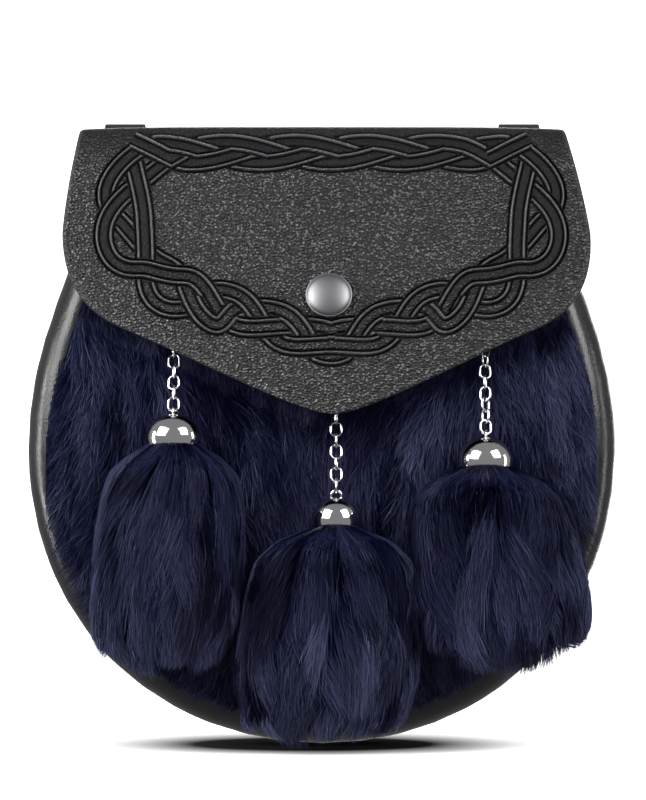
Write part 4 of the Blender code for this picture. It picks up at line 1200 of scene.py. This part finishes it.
def cap_seat(side):
    """The middle of a cap's rim, and its radius, from the CAD node."""
    low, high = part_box("cap_" + side)
    return Vector(((low.x + high.x) / 2, (low.y + high.y) / 2, low.z)), (high.x - low.x) / 2


def cap_profile(radius, wall, points=14):
    widest = CAP_WIDEST * CAP_HEIGHT
    dome = [((radius - wall) * math.sin(turn), widest + (CAP_HEIGHT - wall - widest) * math.cos(turn))
            for turn in np.linspace(0, math.pi / 2, points)]
    rim = [((radius - wall) * math.cos(CAP_CURL * share), widest * (1 - share))
           for share in (0.25, 0.5, 0.75, 0.93)]
    return dome + rim


def eye_path(rise, sink):
    half = (EYE_WIDTH - EYE_WIRE) / 2
    top = rise - EYE_WIRE / 2
    arch = [(half * math.cos(turn), 0, top - half + half * math.sin(turn))
            for turn in np.linspace(0, math.pi, 19)]
    return [(half, 0, -sink)] + arch + [(-half, 0, -sink)]


def make_cap(side):
    seat, radius = cap_seat(side)
    edge = (radius - CAP_WALL / 2) * math.cos(CAP_CURL)
    lip = [(edge + CAP_WALL / 2 * math.cos(turn), CAP_WALL / 2 - CAP_WALL / 2 * math.sin(turn))
           for turn in np.linspace(0.3, math.pi - 0.3, 5)]
    profile = cap_profile(radius, 0) + lip + cap_profile(radius, CAP_WALL)[::-1]
    dome = turned(profile, CAP_STEPS, Matrix.Translation(seat))
    eye = sweep(eye_path(EYE_RISE, CAP_WALL / 2), (0, 1, 0), circle(EYE_WIRE / 2, 10))
    top = Matrix.Translation(seat + Vector((0, 0, CAP_HEIGHT)))
    turn = Matrix.Rotation(math.radians(EYE_TURN[side]), 4, "Z")
    bmesh.ops.transform(eye, matrix=top @ turn, verts=eye.verts)
    piece("cap_dome_" + side, gathered([dome, eye]), polished, ["cap_" + side], sharp=50)


for side in SIDES:
    make_cap(side)

# %% [markdown]
# Each link is an oval of round wire. The CAD node says where it hangs and how it is turned: the longest,
# middle and shortest spread of its points are its length, its width and its flat side.

# %% Chains
WIRE_DIAMETER, LINK_LENGTH, LINK_WIDTH = 0.00080, 0.0055, 0.0042


def link_axes(node):
    source = next(item for item in bpy.data.objects if item.name == node)
    points = np.array([source.matrix_world @ point.co for point in source.data.vertices])
    points = np.unique(np.round(points, 7), axis=0)
    middle = (points.min(axis=0) + points.max(axis=0)) / 2
    _, _, axes = np.linalg.svd(points - points.mean(axis=0), full_matrices=False)
    return middle, axes[0], axes[1]


def make_link(node, name):
    middle, long_axis, wide_axis = link_axes(node)
    radius = (LINK_WIDTH - WIRE_DIAMETER) / 2
    stretch = (LINK_LENGTH - LINK_WIDTH) / 2
    turns = np.arange(22) * 2 * math.pi / 22 + math.pi / 22
    up = radius * np.sin(turns) + stretch * np.sign(np.sin(turns))
    path = middle + np.outer(up, long_axis) + np.outer(radius * np.cos(turns), wide_axis)
    form = sweep(path, np.cross(long_axis, wide_axis), circle(WIRE_DIAMETER / 2, 9), closed=True)
    piece(name, form, polished, [node], sharp=180)


LINKS = {"left": 8, "centre": 9, "right": 10}
for side in SIDES:
    for number in range(1, LINKS[side] + 1):
        make_link(f"chain_{side}_link_{number:02d}", f"link_{side}_{number:02d}")


# %% [markdown]
# The snap's cap is a low dome pressed from sheet, seated in the leather. Its finish is satin, so the light
# on it has a soft edge.

# %% Snap
SNAP_DROP, SNAP_DIAMETER, SNAP_HEIGHT, SNAP_EDGE, SHANK_DIAMETER = 0.0568, 0.0150, 0.0030, 0.0010, 0.0040
SOCKET_HEIGHT = 0.0018


def snap_frame(offset):
    reach = flap_reach_at(CREST_HEIGHT - SNAP_DROP)
    inner, outer = (Vector(flap_surface(0.0, reach, layer)) for layer in (0.0, FLAP_LEATHER))
    out = (outer - inner).normalized()
    ahead = out.cross(Vector((1, 0, 0))).normalized()
    axes = Matrix((ahead.cross(out), ahead, out)).transposed()
    return Matrix.Translation(inner + out * offset) @ axes.to_4x4()


def make_snap():
    radius, shank = SNAP_DIAMETER / 2, SHANK_DIAMETER / 2
    rise = SNAP_HEIGHT - SNAP_EDGE
    dome = [(0.94 * radius * math.sin(turn), SNAP_EDGE + rise * (1 - (1 - math.cos(turn)) ** 0.95))
            for turn in np.linspace(0, math.pi / 2, 16)]
    edge = [(radius * 0.985, SNAP_EDGE * 0.93), (radius, SNAP_EDGE * 0.62), (radius * 0.99, SNAP_EDGE * 0.25),
            (radius - SNAP_EDGE / 2, 0)]
    foot = -(GAP + FLAP_LEATHER + GAP + SOCKET_HEIGHT / 2)
    profile = dome + edge + [(shank, 0), (shank, foot), (0, foot)]
    form = turned(profile, 64, snap_frame(FLAP_LEATHER + GAP))
    piece("snap_dome", form, satin, ["snap_cap"], sharp=50)


make_snap()

# %% [markdown]
# The hidden half of the snap and the plates that hold the chains sit under the flap. Their CAD shapes are
# right as they are, and only get the worn gunmetal finish.

# %% Plates under the flap
for node in ("snap_socket", "snap_stud", "anchor_left", "anchor_centre", "anchor_right"):
    carried = next(item for item in bpy.data.objects if item.name == node)
    for slot in carried.material_slots:
        slot.material = gunmetal

# %% [markdown]
# A belt loop is a strip of leather folded round, with its two tails sewn together on the flap's root. The
# strip is a flat section with rounded corners, carried along the fold.

# %% Belt loops
LOOP_WIDTH, LOOP_LEATHER, LOOP_GAP = 0.0134, 0.0020, 0.0070
LOOP_HEIGHT, LOOP_TAIL = 0.0340, 0.0120
LOOP_SEAT = -(GAP + FLAP_LEATHER + GAP)


def strip_section(width, thickness, corner=0.0005):
    turns = np.radians([0, 30, 60, 90])
    corners = []
    for side, out, start in ((1, 1, 0), (-1, 1, 90), (-1, -1, 180), (1, -1, 270)):
        for turn in turns + math.radians(start):
            corners.append((side * (width / 2 - corner) + corner * math.cos(turn),
                            out * (thickness / 2 - corner) + corner * math.sin(turn)))
    return corners


def loop_path():
    """The strip's middle line as (forward, height) from the seat."""
    bend, leather = LOOP_GAP / 2, LOOP_LEATHER
    middle, radius, straight = leather + bend, bend + leather / 2, LOOP_HEIGHT / 2 - bend
    tail = -(LOOP_HEIGHT / 2 + leather + LOOP_TAIL)
    upper = [(middle + radius * math.cos(turn), straight + radius * math.sin(turn))
             for turn in np.linspace(math.pi, 0, 17)]
    lower = [(middle + radius * math.cos(turn), -straight + radius * math.sin(turn))
             for turn in np.linspace(0, -2.05, 12)]
    inside = [(leather / 2, height) for height in np.linspace(tail, straight, 14)[:-1]]
    outside = [(1.5 * leather, height) for height in np.linspace(-straight - radius - 0.0022, tail, 5)]
    return inside + upper + lower + outside


def make_belt_loop(side, sign):
    seat = np.array(place(sign * LOOP_SPACING / 2, LOOP_SEAT, HANG_HEIGHT))
    path = [seat + (0, forward, height) for forward, height in loop_path()]
    form = sweep(path, (1, 0, 0), strip_section(LOOP_WIDTH, LOOP_LEATHER))
    piece("belt_loop_strip_" + side, form, strap_leather, ["belt_loop_" + side], sharp=50)


make_belt_loop("left", -1)
make_belt_loop("right", 1)


# %% [markdown]
# A tassel is a bundle of fur gripped by its cap. It swells to its full width just below the rim, falls
# straight and ends in ragged locks. The underfur is a dark core, and the hairs lie over it.

# %% The form of a tassel
TASSELS = {
    "left": {"width": 0.0450, "depth": 0.0240, "length": 0.0750, "lean": -0.0035, "rounding": 0.15},
    "centre": {"width": 0.0550, "depth": 0.0270, "length": 0.0690, "lean": -0.0045, "rounding": 0.08},
    "right": {"width": 0.0535, "depth": 0.0270, "length": 0.0660, "lean": 0.0060, "rounding": 0.22},
}
TASSEL_DOWN = (0.00, 0.04, 0.12, 0.24, 0.42, 0.60, 0.78, 0.91, 1.00, 1.10)
TASSEL_WIDE = (0.36, 0.60, 0.80, 0.91, 0.97, 1.00, 0.95, 0.84, 0.68, 0.50)
TASSEL_SPREAD, NECK_SHARE = 0.25, 0.04


def tassel_point(side, around, down, lift):
    """A point over a tassel's side, at a share of its length below the cap's rim."""
    tassel = TASSELS[side]
    seat, radius = cap_seat(side)
    neck = (radius - CAP_WALL) * math.cos(CAP_CURL) - 2 * GAP
    wide = tassel["width"] / 2 * smooth_line(down, TASSEL_DOWN, TASSEL_WIDE)
    wide = np.where(down < NECK_SHARE, neck + (wide - neck) * ease(down / NECK_SHARE), wide) + lift
    spread = ease(down / TASSEL_SPREAD)
    deep = wide * (1 + (tassel["depth"] / tassel["width"] - 1) * spread)
    swell = np.maximum(deep - radius, 0)
    x = seat.x + tassel["lean"] * ease(down) + wide * np.cos(around)
    y = seat.y + deep * np.sin(around) - swell
    return np.stack([x, y, seat.z - down * tassel["length"]], axis=-1)


def tassel_core(side):
    """The underfur: the tassel's form, drawn in and closed at both ends."""
    form = bmesh.new()
    bmesh.ops.create_uvsphere(form, u_segments=48, v_segments=26, radius=1)
    x, y, z = coordinates(form).T
    turn = np.arccos(np.clip(z, -1, 1)) / math.pi
    around = np.arctan2(y, x)
    down = np.interp(turn, (0, 0.06, 0.93, 1), (-0.03, -0.02, 0.86, 0.88))
    shrink = np.interp(turn, (0, 0.06, 0.86, 0.93, 1), (0.0, 1.0, 1.0, 0.7, 0.0))
    outer = tassel_point(side, around, down, -0.0022 * ease(down / 0.1))
    axis = tassel_point(side, around, down, 0.0)
    axis[:, 0] = cap_seat(side)[0].x + TASSELS[side]["lean"] * ease(down)
    axis[:, 1] = sum(tassel_point(side, np.full_like(around, turned_by), down, 0)[:, 1]
                     for turned_by in (math.pi / 2, -math.pi / 2)) / 2
    lay(form, axis + (outer - axis) * shrink[:, None])
    bmesh.ops.recalc_face_normals(form, faces=form.faces)
    piece("tassel_core_" + side, form, underfur, ["tassel_" + side], sharp=180)


for side in SIDES:
    tassel_core(side)

# %% Hairs of the tassels
TASSEL_SEGMENTS, TASSEL_HAIRS, TASSEL_LOCKS = 3, 29000, 96
TASSEL_HAIR, TASSEL_HAIR_WIDTH, TASSEL_LOCK_REACH = (0.012, 0.026), (0.00016, 0.00046), 0.008
TASSEL_LOCK_SHAPE, TASSEL_LOCK_LIFT = np.array([1.0, 0.28]), 0.0024
TASSEL_ROOTS, TOP_ROOTS, TOP_SHARE, TASSEL_END = (-0.02, 0.84), (-0.02, 0.05), 0.16, 0.985
TASSEL_TINT, TASSEL_LOCK_TINT, TASSEL_PALE_SHARE, TASSEL_DEEPER = 0.20, 0.19, 0.10, 0.12
LOCK_SWIRL, HAIR_SWIRL, SWIRL_LENGTH = 0.20, 0.08, 0.02


def tassel_hairs(side):
    count, tassel = TASSEL_HAIRS, TASSELS[side]
    length_all = tassel["length"]
    girth = math.pi * (tassel["width"] + tassel["depth"]) / 2
    locks = np.stack([random.uniform(-0.5, 0.5, TASSEL_LOCKS) * girth,
                      random.uniform(0.02, 0.95, TASSEL_LOCKS) * length_all], axis=-1)
    root = random.uniform(*TASSEL_ROOTS, count)
    root = np.where(random.uniform(0, 1, count) < TOP_SHARE, random.uniform(*TOP_ROOTS, count), root)
    place_round = random.uniform(-0.5, 0.5, count) * girth
    owner = nearest_lock(np.stack([place_round, root * length_all], axis=-1), locks, TASSEL_LOCK_SHAPE)
    aside = np.clip(locks[owner, 0] - place_round, -TASSEL_LOCK_REACH, TASSEL_LOCK_REACH)
    around = place_round / girth * 2 * math.pi
    side_share = np.abs(np.cos(around)) ** 3
    limit = TASSEL_END - tassel["rounding"] * side_share + random.uniform(-0.06, 0.02, TASSEL_LOCKS)[owner]
    hair = random.uniform(*TASSEL_HAIR, count) / length_all
    end = np.minimum(root + hair, limit + random.normal(0, 0.010, count))
    step = np.linspace(0, 1, TASSEL_SEGMENTS + 1)[None, :]
    down = root[:, None] + (end - root)[:, None] * step
    swirl = random.normal(0, LOCK_SWIRL, TASSEL_LOCKS)[owner] + random.normal(0, HAIR_SWIRL, count)
    turn = around[:, None] + (0.42 * aside / girth * 2 * math.pi)[:, None] * step**1.3
    turn = turn + (swirl * hair * length_all / SWIRL_LENGTH)[:, None] * step
    domed = 1 - np.minimum(1, (aside / TASSEL_LOCK_REACH) ** 2)
    lock_lift = random.uniform(0.1, 1.0, TASSEL_LOCKS)[owner] * TASSEL_LOCK_LIFT * domed
    rise = (random.uniform(-0.0002, 0.0009, count) + lock_lift)[:, None]
    lift = -0.0018 + (rise + 0.0014) * np.sin(np.pi / 2 * np.clip(step * 1.2, 0, 1))
    lift = lift * ease((down + 0.02) / 0.06)
    middle = tassel_point(side, turn, down, lift)
    inner = tassel_point(side, turn, down, lift - 0.001)
    outward = middle - inner
    outward /= np.linalg.norm(outward, axis=2, keepdims=True) + 1e-12
    beside = np.stack([-np.sin(around), np.cos(around), np.zeros(count)], axis=-1)
    outward = outward - (0.75 * aside / TASSEL_LOCK_REACH)[:, None, None] * beside[:, None]
    outward = outward + random.normal(0, 0.32, (TASSEL_LOCKS, 1, 3))[owner]
    outward = outward + random.normal(0, OUTWARD_HAIR, (count, 1, 3))
    width = random.uniform(*TASSEL_HAIR_WIDTH, count)
    tint = random.normal(TASSEL_TINT, TINT_SPREAD, count)
    tint = tint + random.normal(0, TASSEL_LOCK_TINT, TASSEL_LOCKS)[owner]
    tint = tint + PALE_TINT * (random.uniform(0, 1, count) < TASSEL_PALE_SHARE)
    # Painted light: hairs rooted lower down are painted paler, so a tassel's top is darker than its lower
    # part.
    tint = tint + 0.30 * ease((root - 0.15) / 0.35)
    tint = np.clip(tint - TASSEL_DEEPER, 0, 1)
    hair_piece("tassel_hairs_" + side, middle, outward, width, tint, "tassel_" + side, TASSEL_SEGMENTS)


for side in SIDES:
    tassel_hairs(side)

# %% [markdown]
# The floor is pale and just below the pouch's lowest point. Under the pouch a soft dark shadow is painted on
# it:
# inside an ellipse the floor's glow and colour go dark. The background is white, as in a catalogue picture.
# Two large soft boxes stand high in front, and two narrow ones at the sides draw the long highlights on the
# rim. A weak fill lights the fur, and one box lights the back.

# %% Floor and backdrop
FLOOR_Z = cad_box[0][2] - 0.0008


def stage_sheet(name, corners, glow, painted_shadow=None):
    """A white sheet that the camera alone sees glow. Inside the ellipse painted_shadow (middle, half sizes) a
    shadow is painted on it: its glow fades to nothing and its colour to a deep grey.
    """
    form = bmesh.new()
    form.faces.new([form.verts.new(corner) for corner in corners])
    data = mesh_of(form, name)
    made, nodes, shader, spot = finish(name)
    nodes.feed(shader, Roughness=0.9, Specular_IOR_Level=0.0, Emission_Strength=glow,
               Emission_Color=(1, 1, 1, 1))
    if painted_shadow:
        middle, half = painted_shadow
        # Painted shadow: inside the ellipse the glow goes to black and the colour to a dark grey.
        share = nodes.vector("DIVIDE", nodes.vector("SUBTRACT", spot, middle)[0], half)[0]
        outside_painted_shadow = nodes.span(nodes.vector("LENGTH", share)["Value"], 0.60, 1.45)
        nodes.feed(shader, Emission_Color=nodes.mix(outside_painted_shadow, (0, 0, 0), (1, 1, 1)),
                   Base_Color=nodes.mix(outside_painted_shadow, (0.03, 0.03, 0.03), (0.9, 0.9, 0.9)))
    data.materials.append(made)
    sheet = bpy.data.objects.new(name, data)
    sheet.visible_diffuse = sheet.visible_glossy = False
    SCENE.collection.objects.link(sheet)


# The painted shadow on the floor under the pouch: its middle and its half sizes.
PAINTED_FLOOR_SHADOW = ((-0.003, -0.025, FLOOR_Z), (0.064, 0.045, 1))
STAGE_BACK, BACK_BASE = 2.5, FLOOR_Z - 0.5
floor_corners = [(x, y, FLOOR_Z) for x, y in ((-3, -3), (3, -3), (3, STAGE_BACK), (-3, STAGE_BACK))]
backdrop_corners = [(x, STAGE_BACK, z) for x, z in ((-3, BACK_BASE), (3, BACK_BASE), (3, 3), (-3, 3))]
stage_sheet("floor", floor_corners, 1.0, PAINTED_FLOOR_SHADOW)
stage_sheet("backdrop", backdrop_corners, 1.2)


# %% Lights
def softbox(name, spot, size, watts, aim=(0, -0.03, -0.08), mirrored_in_metal=True):
    data = bpy.data.lights.new(name, "AREA")
    data.shape = "RECTANGLE"
    data.size, data.size_y = size
    data.energy = watts
    made = bpy.data.objects.new(name, data)
    made.location = spot
    made.rotation_euler = (Vector(aim) - Vector(spot)).to_track_quat("-Z", "Y").to_euler()
    made.visible_glossy = mirrored_in_metal
    made.visible_camera = False
    SCENE.collection.objects.link(made)


softbox("upper_left", (-1.05, -0.85, 0.72), (1.05, 1.10), 34)
softbox("upper_right", (0.98, -0.86, 0.76), (0.80, 1.00), 20)
softbox("strip_left", (-1.20, -0.10, -0.05), (0.20, 0.9), 10)
softbox("strip_right", (1.25, -0.05, -0.05), (0.20, 0.9), 3)
softbox("behind", (0.3, 1.7, 0.05), (1.2, 1.2), 26)
softbox("soft_fill", (0, -1.9, -0.10), (1.6, 1.2), 8, mirrored_in_metal=False)

world = bpy.data.worlds.new("studio")
world.use_nodes = True
Nodes(world.node_tree).feed(world.node_tree.nodes["Background"], Color=(1, 1, 1, 1), Strength=0.28)
SCENE.world = world
SCENE.view_settings.view_transform = "Standard"
